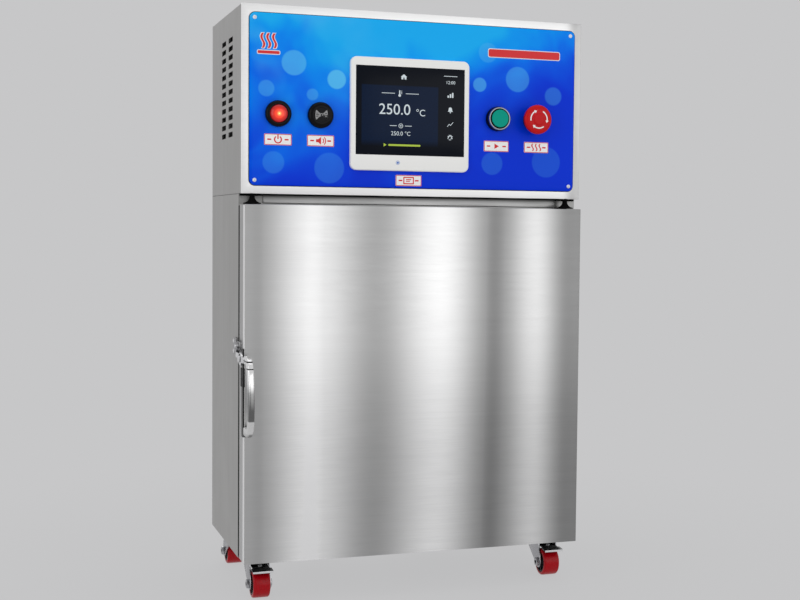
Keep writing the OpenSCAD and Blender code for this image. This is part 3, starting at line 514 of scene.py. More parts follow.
# The front frame's base is darkened to paint the shade of its recess under the control box.
frame_steel_painted_shade = brushed_metal("front_frame_steel", (0.3, 0.3, 0.295), 0.34, ALONG_X)
# The rail strip grows darker towards its top: painted shade under the control box.
STRIP_PAINTED_SHADE = [(0.0, 0.6), (0.4, 0.4), (0.7, 0.22), (1.0, 0.08)]
strip_steel_painted_shade = painted_band_steel("rail_strip_painted_shade", STRIP_PAINTED_SHADE, 0.5505, 0.5618, "Z")
# The fascia is near white with a darker band near its right end: painted light.
FASCIA_PAINTED_LIGHT = [(0.0, 0.98), (0.9, 0.96), (0.955, 0.92), (0.978, 0.6), (1.0, 0.66)]
fascia_low, fascia_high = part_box("front_fascia")
fascia_steel_painted_light = painted_band_steel("fascia_steel_painted_light_bands", FASCIA_PAINTED_LIGHT, fascia_low.x, fascia_high.x,
                            roughness=0.42)
back_steel = brushed_metal("back_cover_steel", (0.56, 0.56, 0.55), 0.4, ALONG_Z)
liner_steel = brushed_metal("chamber_liner_steel", (0.68, 0.68, 0.67), 0.34, ALONG_X, contrast=0.04,
                            bump=0.03)
wire_steel = plain_finish("shelf_wire_steel", (0.78, 0.78, 0.79), 0.16, metallic=1.0, texture=120,
                          bump=0.03)
part_steel = brushed_metal("plain_part_steel", (0.36, 0.36, 0.365), 0.3, ALONG_Y)
zinc = plain_finish("zinc_plate", (0.44, 0.44, 0.455), 0.24, metallic=1.0, texture=160, bump=0.06,
                    contrast=0.12)
screw_white = plain_finish("screw_bright_zinc", (0.86, 0.88, 0.92), 0.45, metallic=0.4, texture=160,
                           contrast=0.05)
ring_chrome = plain_finish("ring_dark_chrome", (0.36, 0.37, 0.39), 0.12, metallic=1.0, texture=60,
                           bump=0.01)
chrome = plain_finish("polished_chrome", (0.82, 0.82, 0.83), 0.08, metallic=1.0, texture=60, bump=0.01,
                      contrast=0.03, marks=0.06)
wool = plain_finish("mineral_wool", (0.78, 0.7, 0.42), 0.95, texture=260, bump=0.6, contrast=0.3)
hot_steel = plain_finish("heater_tube_oxide", (0.2, 0.17, 0.16), 0.45, metallic=1.0, texture=90,
                         contrast=0.35)
motor_enamel = plain_finish("motor_dark_enamel", (0.05, 0.055, 0.065), 0.4, coat=0.2, texture=200)
pale_plastic = plain_finish("screen_housing_plastic", (0.93, 0.93, 0.91), 0.42, texture=900, bump=0.1,
                            contrast=0.02)
black_gloss = plain_finish("black_gloss_plastic", (0.003, 0.003, 0.004), 0.14, texture=300, bump=0.03,
                           specular=0.12)
black_matte = plain_finish("black_moulded_plastic", (0.02, 0.02, 0.022), 0.5, texture=700, bump=0.15,
                           specular=0.25)
red_lens = plain_finish("red_lamp_lens", (0.6, 0.012, 0.01), 0.12, coat=0.6, texture=200, bump=0.03)
green_cap = plain_finish("green_button_plastic", (0.0, 0.34, 0.25), 0.34, texture=700, bump=0.05,
                         specular=0.08)
red_cap = plain_finish("red_stop_plastic", (0.56, 0.002, 0.006), 0.3, texture=700, bump=0.05,
                       specular=0.2)
label_white = plain_finish("label_white", (0.97, 0.97, 0.965), 0.38, texture=500, bump=0.03,
                           contrast=0.02)
black_metal = plain_finish("black_enamelled_steel", (0.006, 0.006, 0.006), 0.28, texture=250,
                           specular=0.3)
# Black rubber for the real seals and pivots, also used for strips that paint shade in gaps.
black_rubber_and_shade = plain_finish("black_rubber_and_painted_shade", (0.003, 0.003, 0.003), 0.8, texture=500, bump=0.1,
                          specular=0.05)
seal_rubber = plain_finish("silicone_seal", (0.03, 0.03, 0.03), 0.7, texture=500, bump=0.2)
bronze = plain_finish("bush_bronze", (0.6, 0.38, 0.17), 0.3, metallic=1.0, texture=200)
tyre_red = plain_finish("wheel_red_polyurethane", (0.38, 0.001, 0.006), 0.22, texture=240, bump=0.06,
                        contrast=0.2, specular=0.2)
hub_dark = plain_finish("wheel_hub_black", (0.008, 0.008, 0.009), 0.38, texture=300, specular=0.2)
case_metal = brushed_metal("supply_case_aluminium", (0.7, 0.7, 0.71), 0.35, ALONG_X)
relay_plastic = plain_finish("relay_pale_plastic", (0.8, 0.8, 0.76), 0.45, texture=500)
graphic_blue = plain_finish("panel_blue", (0.01, 0.12, 0.7), 0.22, coat=0.5, texture=20)
display_glass = plain_finish("display_dark_glass", (0.004, 0.008, 0.02), 0.08, coat=0.5, texture=40,
                             bump=0.0)
print(len(bpy.data.materials), "finishes")

# %% Put a finish on every CAD node
FINISH = [
    (body_steel, "cabinet_shell control_box_shell"),
    (part_steel, "base_pan temperature_probe lower_hinge_bracket estop_stem keeper_roller"),
    (back_steel, "cabinet_back_cover control_box_back_cover"),
    (frame_steel_painted_shade, "front_frame"),
    (liner_steel, "chamber shelf_ladders air_baffle fan_rotor door_inner_panel"),
    (wool, "insulation door_insulation"),
    (wire_steel, "shelves"),
    (hot_steel, "heaters"),
    (motor_enamel, "fan_motor"),
    (fascia_steel_painted_light, "front_fascia"),
    (graphic_blue, "graphic_panel"),
    (pale_plastic, "hmi_housing"),
    (display_glass, "hmi_screen"),
    (black_gloss, "lamp_body buzzer_body start_button_body"),
    (red_lens, "lamp_lens"),
    (chrome, "start_button_bezel keeper_bracket latch_lever"),
    (black_matte, "estop_collar contact_blocks cable_gland"),
    (label_white, "label_plates"),
    (zinc, "fasteners caster_plates brake_pedal_left brake_pedal_right"),
    (case_metal, "power_supply"),
    (relay_plastic, "solid_state_relay"),
    (black_rubber_and_shade, "upper_pivots"),
    (green_cap, "start_button_cap"),
    (red_cap, "estop_head"),
    (door_steel, "door_shell"),
    (seal_rubber, "door_gasket"),
    (bronze, "door_bushes"),
    (black_metal, "latch_base"),
]
CORNERS = ("front_left", "front_right", "rear_left", "rear_right")
for kind, material in (("fork", zinc), ("tyre", tyre_red), ("hub", hub_dark)):
    FINISH.append((material, " ".join("caster_%s_%s" % (kind, corner) for corner in CORNERS)))
finished = {name: material for material, names in FINISH for name in names.split()}
for name, material in finished.items():
    node = nodes_of[name]
    node.data.materials.clear()
    paint(node, material)
print(len(finished), "nodes have a finish;", sorted(set(nodes_of) - set(finished)), "have none")

# %% [markdown]
# ## Places on the oven
# The drawing gives places in millimetres from the cabinet's middle, from the
# face of the control box and from the floor. One helper turns them into metres.

# %% Places
MIDDLE_X, FACE_Y = 3.9, -92


def spot(x, y, z):
    """A place of the drawing, in metres."""
    return Vector(((x + MIDDLE_X) * MM, (y + FACE_Y) * MM, z * MM))


def mm(*values):
    """Millimetres from the oven's origin, in metres."""
    return tuple(value * MM for value in values)


def in_mm(rings):
    return [mm(*ring) for ring in rings]


FRONT, BACK, LEFT, UP = Vector((0, -1, 0)), Vector((0, 1, 0)), Vector((-1, 0, 0)), Vector((0, 0, 1))
PANEL_FACE = spot(0, -2, 0).y
print("panel face at", round(PANEL_FACE, 4))


def cut_out(piece, cutters):
    """Takes the cutters out of a piece and deletes them."""
    cutter = join_pieces(piece.name + "_cutter", cutters)
    apply_modifier(piece, "BOOLEAN", operation="DIFFERENCE", object=cutter, solver="EXACT")
    bpy.data.objects.remove(cutter)


def bar(name, start, end, radius, sides=24):
    """A round bar between two points."""
    start, end = Vector(start), Vector(end)
    length = (end - start).length
    return turned(name, start, (end - start).normalized(), [(0, radius), (length, radius)], sides)


# %% [markdown]
# ## Door shell
# The real door is a tray folded from one sheet. A cube stretched to the door is
# hollowed from the back by an inset and an inward extrusion. A bevel then gives
# the folds their small radius, which catches the light as a thin bright line. A
# near-white strip on the left front fold adds a painted highlight there.

# %% Door shell
SHEET = 1.2 * MM
door_low, door_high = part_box("door_shell")
inwards = (0, door_low.y - door_high.y + SHEET, 0)
door = block("door_skin", door_low, door_high)
start_edit(door)
pick_faces(door, lambda centre, normal: normal.y > 0.9)
bpy.ops.mesh.inset(thickness=SHEET)
bpy.ops.mesh.extrude_region_move(TRANSFORM_OT_translate={"value": inwards})
end_edit()
round_edges(door, 0.5 * MM, 4)
pivot = spot(229, 3, 0)
bores = [bar("pivot_bore", (pivot.x, pivot.y, foot), (pivot.x, pivot.y, foot + 6 * MM), 5.1 * MM)
         for foot in (door_low.z - 2 * MM, door_high.z - 4 * MM)]
cut_out(door, bores)
# A near-white strip on the left front fold paints its highlight.
highlight_strip = block("door_edge_highlight_strip", (door_low.x - 0.25 * MM, door_low.y + 0.6 * MM, door_low.z + MM),
                   (door_low.x + 0.3 * MM, door_low.y + 12 * MM, door_high.z - MM))
round_edges(highlight_strip, 0.12 * MM, 2)
paint(door, door_steel)
paint(highlight_strip, edge_painted_highlight)
door = join_pieces("door_skin", [door, highlight_strip])
finish_piece(door, "door", "door_steel", None, "door_shell")
# Black strips in the gaps beside and above the door paint the shade there.
side_shade_strip = block("side_shade_strip", mm(-246.2, -84, 62), mm(-242.6, -75.4, 547))
top_shade_strip = block("top_shade_strip", mm(-216, -84, 543.5), mm(219, -75.4, 547))
for shade_strip in (side_shade_strip, top_shade_strip):
    round_edges(shade_strip, 0.8 * MM, 3)
finish_piece(join_pieces("door_gap_painted_shade", [side_shade_strip, top_shade_strip]), "door", "rubber", black_rubber_and_shade)

# %% [markdown]
# ## Cabinet and control box skins
# Both are bent from sheet, so their long edges are round. The control box side
# has two columns of small slots. One slot with round corners is shaped, copied
# down both sides and cut out of the sheet.

# %% Cabinet skin
FOLD = 1.6 * MM
HOLES = [(0, 107, 8)] + [(x, 40.2, 4.5) for x in (-115, -85, 85, 115)] + [(173.8, 179.8, 3.5)]


def holes_in_sheet(level):
    """Cutters for the holes that the cabinet's roof and the control box share."""
    cutters = []
    for x, y, radius in HOLES:
        here = spot(x, y, 0)
        foot = (here.x, here.y, level - 3 * MM)
        cutters.append(bar("hole", foot, (here.x, here.y, level + 3 * MM), radius * MM))
    return cutters


low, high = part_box("cabinet_shell")
cabinet = block("cabinet_skin", low, high)
open_faces(cabinet, lambda centre, normal: abs(normal.y) > 0.9 or normal.z < -0.9)
round_picked(cabinet, lambda a, b: min(a.z, b.z) > high.z - MM and abs(a.x - b.x) < MM, FOLD, 4)
apply_modifier(cabinet, "SOLIDIFY", thickness=SHEET, offset=-1)
cut_out(cabinet, holes_in_sheet(high.z - SHEET / 2))
finish_piece(cabinet, "cabinet", "brushed_steel", body_steel, "cabinet_shell")

# %% Control box skin with its vent slots
low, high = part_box("control_box_shell")
box_skin = block("control_box_skin", low, high)
open_faces(box_skin, lambda centre, normal: abs(normal.y) > 0.9)
round_picked(box_skin, lambda a, b: abs(a.x - b.x) < MM and abs(a.z - b.z) < MM, FOLD, 4)
apply_modifier(box_skin, "SOLIDIFY", thickness=SHEET, offset=-1)
slot = block("vent_slot", spot(-260, 65, 775.5), spot(-240, 99, 782.5))
round_picked(slot, lambda a, b: abs(a.y - b.y) < MM and abs(a.z - b.z) < MM, 1.8 * MM, 3)
moves = [(side * 0.5, column * 55 * MM, -row * 12 * MM)
         for column in range(2) for row in range(12) for side in range(2)]
slots = [slot] + [copy_piece(slot, "vent_slot", move) for move in moves[1:]]
cut_out(box_skin, slots)
cut_out(box_skin, holes_in_sheet(low.z + SHEET / 2))
finish_piece(box_skin, "cabinet", "brushed_steel", body_steel, "control_box_shell")

# %% [markdown]
# ## Front frame and fascia
# These are flat plates. What makes them read as sheet is a fine round along
# their outline, the openings cut clean through, and the strip that closes the
# gap above the door.

# %% Flat plates
SCREW_HOLE, DEVICE_HOLE = 2.1, 11.2


def plate_with_openings(name, node, fold, cutters):
    low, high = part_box(node)
    piece = rounded_block(name, low, high, fold, 3)
    cut_out(piece, cutters)
    return piece


def hole_through(x, z, radius, y0, y1):
    return bar("hole", spot(x, y0, z), spot(x, y1, z), radius * MM, 32)


frame_plate = plate_with_openings("front_frame_plate", "front_frame", 0.5 * MM,
                                  [block("opening", spot(-195.8, 10, 116), spot(195.8, 25, 495.8))])
paint(frame_plate, frame_steel_painted_shade)
# The rail strip's tone paints the shade under the control box's front edge.
strip = rounded_block("rail_strip", spot(-217, 14.6, 550.5), spot(217, 17.2, 561.8), 0.8 * MM, 3)
paint(strip, strip_steel_painted_shade)
# A black strip under the control box's front edge paints its shadow.
line = rounded_block("rail_painted_shadow", spot(-249, 15.2, 560.4), spot(249, 17.8, 562.9), 0.5 * MM, 3)
paint(line, black_rubber_and_shade)
frame_plate = join_pieces("front_frame_plate", [frame_plate, strip, line])
finish_piece(frame_plate, "cabinet", "brushed_steel", None, "front_frame")

PANEL_SCREWS = [(sx * 232, 691 + sz * 109.5) for sx in (-1, 1) for sz in (-1, 1)]
DEVICES = {"lamp": (-200, 672), "buzzer": (-141, 672), "start": (119, 676), "stop": (174, 676)}


def panel_openings():
    """Cutters for the screen, the round devices and the screws."""
    holes = [block("opening", spot(-94.5, -5, 603), spot(69.5, 6, 750))]
    holes += [hole_through(x, z, DEVICE_HOLE, -5, 6) for x, z in DEVICES.values()]
    holes += [hole_through(x, z, SCREW_HOLE, -5, 6) for x, z in PANEL_SCREWS]
    return holes


fascia = plate_with_openings("fascia_plate", "front_fascia", 0.45 * MM, panel_openings())
finish_piece(fascia, "cabinet", "fascia", fascia_steel_painted_light, "front_fascia")

# %% [markdown]
# ## Back covers
# Each cover is a plate with screws at its edges. The upper one also has pressed
# louvres over its slots, so that warm air leaves downwards.

# %% Back covers with louvres
COVER_SCREWS_X = (-238, 0, 238)
COVER_Y, COVER_FACE = (230, 250), 240
GLAND_X, GLAND_Z = 180, 603
for name, node, z_low, z_high in (("cabinet_back_plate", "cabinet_back_cover", 75, 548),
                                  ("box_back_plate", "control_box_back_cover", 578, 804)):
    cutters = [hole_through(x, z, SCREW_HOLE, *COVER_Y) for x in COVER_SCREWS_X for z in (z_low, z_high)]
    if node == "control_box_back_cover":
        cutters.append(hole_through(GLAND_X, GLAND_Z, 10.2, *COVER_Y))
        cutters += [block("slot", spot(x, COVER_Y[0], 759), spot(x + 20, COVER_Y[1], 763))
                    for x in range(-150, 61, 30)]
    plate = plate_with_openings(name, node, 0.45 * MM, cutters)
    if node == "control_box_back_cover":
        hood = block("louvre", spot(-151.5, 239.6, 757.5), spot(-128.5, 243.4, 766))
        outer, top = spot(0, 243, 0).y, 765 * MM
        start_edit(hood)
        pick_edges(hood, lambda a, b: (min(a.y, b.y) > outer and max(a.z, b.z) > top
                                       and abs(a.x - b.x) > MM))
        bpy.ops.transform.translate(value=mm(0, -2.6, 0))
        pick_faces(hood, lambda centre, normal: normal.z < -0.9 or normal.y < -0.9)
        bpy.ops.mesh.delete(type="FACE")
        end_edit()
        apply_modifier(hood, "SOLIDIFY", thickness=0.8 * MM, offset=-1)
        round_edges(hood, 0.5 * MM, 2)
        hoods = [hood] + [copy_piece(hood, "louvre", (0.03 * step, 0, 0)) for step in range(1, 8)]
        plate = join_pieces(name, [plate] + hoods)
    finish_piece(plate, "cabinet", "brushed_steel", back_steel, node)

# %% [markdown]
# ## Flat signs
# The real panel has printed words. Here the places hold plain pictograms. They
# are flat filled curves turned into thin meshes, like stickers.

# %% Helpers for flat signs
def flat_curve(name, loops, thickness=0.0):
    """A curve object from closed loops of millimetres, flat or extruded."""
    curve = bpy.data.curves.new(name, "CURVE")
    curve.dimensions = "2D"
    curve.fill_mode = "BOTH"
    curve.extrude = thickness / 2
    for loop in loops:
        line = curve.splines.new("POLY")
        line.points.add(len(loop) - 1)
        for point, (a, b) in zip(line.points, loop):
            point.co = (a * MM, b * MM, 0, 1)
        line.use_cyclic_u = True
    piece = bpy.data.objects.new(name, curve)
    scene.collection.objects.link(piece)
    return piece


def to_mesh(piece):
    make_active(piece)
    bpy.ops.object.convert(target="MESH")
    return bpy.context.object


def stand_up(piece, at, lift, material):
    """Turns a flat curve or text into a mesh that stands at a panel place."""
    piece = to_mesh(piece)
    upright = Matrix.Rotation(math.radians(90), 4, "X")
    piece.matrix_world = Matrix.Translation(spot(at[0], lift, at[1])) @ upright
    apply_transform(piece)
    piece.data.materials.clear()
    paint(piece, material)
    return piece


def flat_sign(name, loops, at, lift, material, thickness=0.12 * MM):
    """Filled loops of (x, z) millimetres, standing upright at a panel place."""
    return stand_up(flat_curve(name, loops, thickness), at, lift, material)


def arc_points(radius, start, end, steps=24, centre=(0, 0)):
    turn = [math.radians(start + (end - start) * i / steps) for i in range(steps + 1)]
    return [(centre[0] + radius * math.cos(t), centre[1] + radius * math.sin(t)) for t in turn]


def arc_band(radius, width, start, end):
    return arc_points(radius + width / 2, start, end) + arc_points(radius - width / 2, end, start)


def full_ring(radius, width, centre=(0, 0)):
    return [arc_points(edge, 0, 352.5, 47, centre) for edge in (radius + width / 2, radius - width / 2)]


def box_loop(x0, z0, x1, z1, r=0.0):
    """A rectangle, with round corners where r is given."""
    if r == 0:
        return [(x0, z0), (x1, z0), (x1, z1), (x0, z1)]
    corners = [(x0 + r, z0 + r), (x1 - r, z0 + r), (x1 - r, z1 - r), (x0 + r, z1 - r)]
    loop = []
    for start, centre in zip((180, 270, 0, 90), corners):
        loop += arc_points(r, start, start + 90, 6, centre)
    return loop


def wave_band(x, z0, z1, swing, width):
    """An upright wavy stroke."""
    steps = 24
    left, right = [], []
    for i in range(steps + 1):
        z = z0 + (z1 - z0) * i / steps
        middle = x + swing * math.sin(2 * math.pi * i / steps)
        left.append((middle - width / 2, z))
        right.append((middle + width / 2, z))
    return right + left[::-1]


def number(name, figures, size, at, lift, material):
    """Plain figures as a thin mesh."""
    deselect_all()
    bpy.ops.object.text_add()
    piece = bpy.context.object
    piece.name = name
    piece.data.body = figures
    piece.data.size = size * MM
    piece.data.align_x = piece.data.align_y = "CENTER"
    piece.data.extrude = 0.03 * MM
    return stand_up(piece, at, lift, material)


def glow(name, colour, strength):
    """A lit print behind glass."""
    material, tree, shader, place = new_material(name)
    dim = tuple(c * 0.9 for c in colour) + (1,)
    light = mix_colours(tree, noise(tree, place, 900.0), dim, colour + (1,))
    feed(tree, shader, {"Emission Color": light, "Emission Strength": strength,
                        "Base Color": (0.02, 0.02, 0.02, 1), "Roughness": 0.2})
    return material


sign_red = plain_finish("sign_red_print", (0.72, 0.015, 0.02), 0.4, texture=600, bump=0.02)
sign_white = plain_finish("sign_white_print", (0.88, 0.88, 0.88), 0.4, texture=600, bump=0.02,
                          contrast=0.02)
print("signs ready")

# %% [markdown]
# ## Graphic panel
# A printed sheet with a blue ground and soft round lights. The blue runs from
# azure near the top to deep blue at the foot and at the right. Each light is the
# distance from a chosen point, turned into a soft edged disc.

# %% Panel print
BLUES = [(0.0, (0.0, 0.035, 0.72, 1)), (0.2, (0.0, 0.042, 0.76, 1)), (0.42, (0.0, 0.09, 0.86, 1)),
         (0.62, (0.0, 0.22, 1.0, 1)), (0.85, (0.0, 0.36, 1.0, 1)), (1.0, (0.01, 0.48, 1.0, 1))]
GLOW_SPOTS = [(-178, 742, 17, 0.5), (-118, 722, 13, 0.75), (-216, 706, 11, 0.28), (-152, 700, 8, 0.3),
              (104, 770, 14, 0.22), (150, 734, 18, 0.3), (206, 712, 13, 0.2), (92, 724, 10, 0.45),
              (-206, 606, 15, 0.16), (-128, 600, 21, 0.14), (112, 612, 16, 0.12), (196, 616, 22, 0.1)]


def panel_print():
    material, tree, shader, place = new_material("panel_blue_print")
    low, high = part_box("graphic_panel")
    split = new_node(tree, "SeparateXYZ", {0: place}).outputs
    across = spread(tree, split["X"], 0, 1, low.x, high.x)
    up = spread(tree, split["Z"], 0, 1, low.z, high.z)
    drift = spread(tree, noise(tree, place, 6.5, 3.0, 0.6), -0.34, 0.34, 0.3, 0.7)
    rise = math_node(tree, "ADD", up, drift)
    towards_right = math_node(tree, "MULTIPLY", math_node(tree, "POWER", across, 4.0), 0.45)
    level = math_node(tree, "SUBTRACT", rise, towards_right)
    colour = colour_ramp(tree, level, BLUES, "B_SPLINE")
    corner = math_node(tree, "MULTIPLY", spread(tree, across, 1, 0, 0.0, 0.45),
                       spread(tree, up, 0, 1, 0.35, 1.0))
    haze = spread(tree, noise(tree, place, 14.0), 0, 0.6, 0.42, 0.66)
    colour = mix_colours(tree, math_node(tree, "MULTIPLY", corner, haze), colour, (0.12, 0.6, 1.0, 1))
    for x, z, radius, strength in GLOW_SPOTS:
        reach = distance_to(tree, place, (spot(x, 0, z).x, PANEL_FACE, spot(x, 0, z).z))
        light = spread(tree, reach, strength, 0, (radius - 1.0) * MM, (radius + 1.0) * MM)
        colour = mix_colours(tree, light, colour, (0.12, 0.62, 1.0, 1))
    rough = spread(tree, smudges(tree, place, 5.0), 0.3, 0.36)
    feed(tree, shader, {"Base Color": colour, "Roughness": rough, "Specular IOR Level": 0.08})
    return material


print_blue = panel_print()
low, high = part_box("graphic_panel")
panel = block("graphic_plate", low, high)
round_picked(panel, lambda a, b: abs(a.y - b.y) > MM, 8 * MM, 10)
round_edges(panel, 0.3 * MM, 2, 60)
cut_out(panel, panel_openings())
paint(panel, print_blue)
rim = Vector(mm(0.9, 0, 0.9))
back = Vector(mm(4, -2, 4))
seam = block("panel_seam", Vector((low.x, high.y - 0.7 * MM, low.z)) - rim,
             Vector((high.x, high.y + 0.3 * MM, high.z)) + rim)
round_picked(seam, lambda a, b: abs(a.y - b.y) > 0.5 * MM, 8.9 * MM, 10)
cut_out(seam, [block("seam_window", low + back, high - back)])
paint(seam, black_rubber_and_shade)
panel = join_pieces("graphic_plate", [panel, seam])
finish_piece(panel, "cabinet", "graphic", None, "graphic_panel")

# %% Signs on the panel
signs = []
heat = [wave_band(x, 0, 20, 1.9, 3.0) for x in (-8, 0, 8)]
tray = [box_loop(-15, -7.5, 15, -3.5, 1.2)]
SIGN_AT = (-213, 760)
signs.append(flat_sign("heat_mark_rim", [wave_band(x, -0.8, 20.8, 1.9, 4.8) for x in (-8, 0, 8)]
                       + [box_loop(-16, -8.5, 16, -2.5, 2)], SIGN_AT, -2.06, sign_white))
signs.append(flat_sign("heat_mark", heat + tray, SIGN_AT, -2.16, sign_red))
TITLE_AT = (160, 770)
signs.append(flat_sign("title_rim", [box_loop(-56, -6.4, 56, 6.4, 3)], TITLE_AT, -2.06, sign_white))
signs.append(flat_sign("title_bar", [box_loop(-55, -5.4, 55, 5.4, 2.4)], TITLE_AT, -2.16, sign_red))
panel_signs = join_pieces("panel_signs", signs)
finish_piece(panel_signs, "cabinet", "label", None)

# %% [markdown]
# ## Touch screen
# The housing is a moulded plate with round corners and a soft front edge, with a
# box behind it that fills the opening. The glass drops into a shallow pocket.

# %% Screen housing
housing = block("screen_housing", spot(-99.5, -8, 598), spot(74.5, -2, 755))
front_y = spot(0, -8, 0).y
round_picked(housing, lambda a, b: abs(a.y - b.y) > MM, 9 * MM, 8)
round_picked(housing, lambda a, b: max(a.y, b.y) < front_y + 0.1 * MM, 2 * MM, 4)
rear_box = rounded_block("screen_rear", spot(-93.5, -3, 604), spot(68.5, 36, 749), 1 * MM, 2)
cut_out(housing, [block("glass_pocket", spot(-92.2, -9, 619.8), spot(67.2, -6, 743.2))])
housing = join_pieces("screen_housing", [housing, rear_box])
finish_piece(housing, "cabinet", "hmi_plastic", pale_plastic, "hmi_housing", angle=30)

# %% Display glass
PAGE = (-83, 641, 27, 716)
GLASS_Y = -7.6


def display_print():
    """A dark display whose main page is a little bluer than its border."""
    material, tree, shader, place = new_material("display_page")
    split = new_node(tree, "SeparateXYZ", {0: place}).outputs
    x0, z0, x1, z1 = PAGE
    low, high = spot(x0, 0, z0), spot(x1, 0, z1)
    soft = 1.5 * MM
    mask = 1.0
    for axis, start, end, first, last in (
            ("X", 0, 1, low.x - soft, low.x), ("X", 1, 0, high.x, high.x + soft),
            ("Z", 0, 1, low.z - 6 * soft, low.z), ("Z", 1, 0, high.z, high.z + soft)):
        mask = math_node(tree, "MULTIPLY", mask, spread(tree, split[axis], start, end, first, last))
    dots = noise(tree, place, 700.0)
    page = mix_colours(tree, dots, (0.0, 0.004, 0.018, 1), (0.0, 0.009, 0.034, 1))
    light = mix_colours(tree, mask, (0.0, 0.0012, 0.004, 1), page)
    rough = spread(tree, smudges(tree, place, 9.0), 0.16, 0.3)
    feed(tree, shader, {"Emission Color": light, "Emission Strength": 1.0, "Roughness": rough,
                        "Base Color": (0.001, 0.001, 0.002, 1), "Specular IOR Level": 0.12})
    return material


glass = rounded_block("display_glass", spot(-92, GLASS_Y, 620), spot(67, -6, 743), 0.3 * MM, 2)
finish_piece(glass, "cabinet", "screen", display_print(), "hmi_screen")

# %% [markdown]
# ## What the display shows
# The real page has words. This page keeps the figures, which any oven shows, and
# puts plain pictograms where the words are. All are thin flat meshes on the glass.

# %% Pictograms
def disc(radius, centre=(0, 0)):
    return arc_points(radius, 0, 345, 23, centre)


def moved(loops, x, z, scale=1.0):
    return [[(x + scale * a, z + scale * b) for a, b in loop] for loop in loops]


HOUSE = [[(-4, -3.6), (-1, -3.6), (-1, -0.6), (1, -0.6), (1, -3.6), (4, -3.6), (4, 0.4), (5, 0.4),
          (0, 4.4), (-5, 0.4), (-4, 0.4)]]
THERMOMETER = [disc(2.1, (0, -3)), box_loop(-0.9, -1, 0.9, 5, 0.8)]
THERMOMETER += [box_loop(2, z, 4, z + 0.7) for z in (3.4, 1.4, -0.6)]
TARGET = full_ring(3.2, 0.8) + [disc(1.1)]
BARS = [box_loop(-4.4, -3, -2.2, 0), box_loop(-1.1, -3, 1.1, 2), box_loop(2.2, -3, 4.4, 4)]
BELL = [[(-3.8, -2.2), (3.8, -2.2), (2.7, -0.8), (2.5, 1.4)] + arc_points(2.5, 30, 150, 8, (0, 1.4))
        + [(-2.5, 1.4), (-2.7, -0.8)], disc(0.9, (0, -3.4))]
TREND = [[(-4.6, -3.2), (-1.6, 0.6), (0.4, -1.0), (4.0, 3.2), (4.6, 2.6), (0.5, -2.0), (-1.5, -0.4),
          (-4.0, -3.6)]]
GEAR = full_ring(2.4, 1.3)
TOOTH = [(2.8, 0.55), (4.0, 0.45), (4.0, -0.45), (2.8, -0.55)]
for t in (math.radians(45 * step + 22.5) for step in range(8)):
    GEAR.append([(out * math.cos(t) - wide * math.sin(t), out * math.sin(t) + wide * math.cos(t))
                 for out, wide in TOOTH])
PLAY = [[(-2.2, -3), (3, 0), (-2.2, 3)]]
print("pictograms drawn")

# %% Display page
LIFT = GLASS_Y - 0.08
screen_white = glow("display_white", (0.62, 0.7, 0.74), 0.9)
screen_lime = glow("display_lime", (0.42, 0.58, 0.0), 0.8)
page = [number("reading", "250.0", 21, (-36, 683), LIFT, screen_white),
        number("unit", "°C", 13, (2, 679.5), LIFT, screen_white),
        number("set_reading", "250.0 °C", 8, (-27, 650), LIFT, screen_white),
        number("clock", "12:00", 6.4, (46, 724), LIFT, screen_white)]
icons = moved(HOUSE, -23, 729, 0.9) + moved(THERMOMETER, -29, 706, 0.9) + moved(TARGET, -27, 661, 0.9)
icons += [box_loop(-55, 705.6, -36, 706.4), box_loop(-20, 705.6, -1, 706.4)]
icons += [box_loop(-43, 660.6, -33, 661.4), box_loop(-21, 660.6, -11, 661.4)]
icons += moved(BARS, 46, 706) + moved(BELL, 46, 685.5) + moved(TREND, 46, 665.5) + moved(GEAR, 46, 647)
icons += [box_loop(36, 732.6, 56, 733.4)]
page.append(flat_sign("page_icons", icons, (0, 0), LIFT, screen_white))
lime = moved(PLAY, -50, 634, 0.8) + [box_loop(-45, 632.7, 2, 635.3, 1)]
page.append(flat_sign("run_bar", lime, (0, 0), LIFT, screen_lime))
page = join_pieces("display_signs", page)
finish_piece(page, "cabinet", "screen", None)

DOT_AT = (-31, 609.5)
housing_dot = flat_sign("housing_dot", [disc(1.6, DOT_AT)] + full_ring(2.6, 0.5, DOT_AT), (0, 0), -8.03,
                        glow("housing_blue_dot", (0.02, 0.16, 0.6), 0.7))
finish_piece(housing_dot, "cabinet", "screen", None)

# %% [markdown]
# ## Lamp, buzzer and push button
# All are round, so each is a circle that is extruded and scaled along its axis.
# The list gives how far forward each ring lies and its radius, in millimetres.

# %% Round panel devices
NECK_BACK = 30


def round_device(name, at, rings, sides=64, closed=False):
    """Rings of (y, radius) in millimetres about a panel place."""
    foot_y = rings[0][0]
    profile = [((foot_y - y) * MM, max(radius, 0.05) * MM) for y, radius in rings]
    return turned(name, spot(at[0], foot_y, at[1]), FRONT, profile, sides, closed)


LAMP, BUZZER, START, STOP = (DEVICES[key] for key in ("lamp", "buzzer", "start", "stop"))
lamp = round_device("lamp_bezel", LAMP, [
    (NECK_BACK, 11), (-2, 11), (-2, 17.6), (-2.6, 18), (-6.4, 18), (-7.8, 17.5), (-8.9, 16.6),
    (-9.7, 15.2), (-10, 13.6), (-9.7, 12.6), (-9, 12.15), (-6, 12.1)])
finish_piece(lamp, "cabinet", "black_plastic", black_gloss, "lamp_body")
LENS_REDS = [(0.0, (1.0, 0.6, 0.2, 1)), (0.1, (1.0, 0.25, 0.05, 1)), (0.26, (0.5, 0.04, 0.015, 1)),
             (0.6, (0.22, 0.008, 0.003, 1)), (0.85, (0.1, 0.002, 0.001, 1)),
             (1.0, (0.04, 0.001, 0.001, 1))]


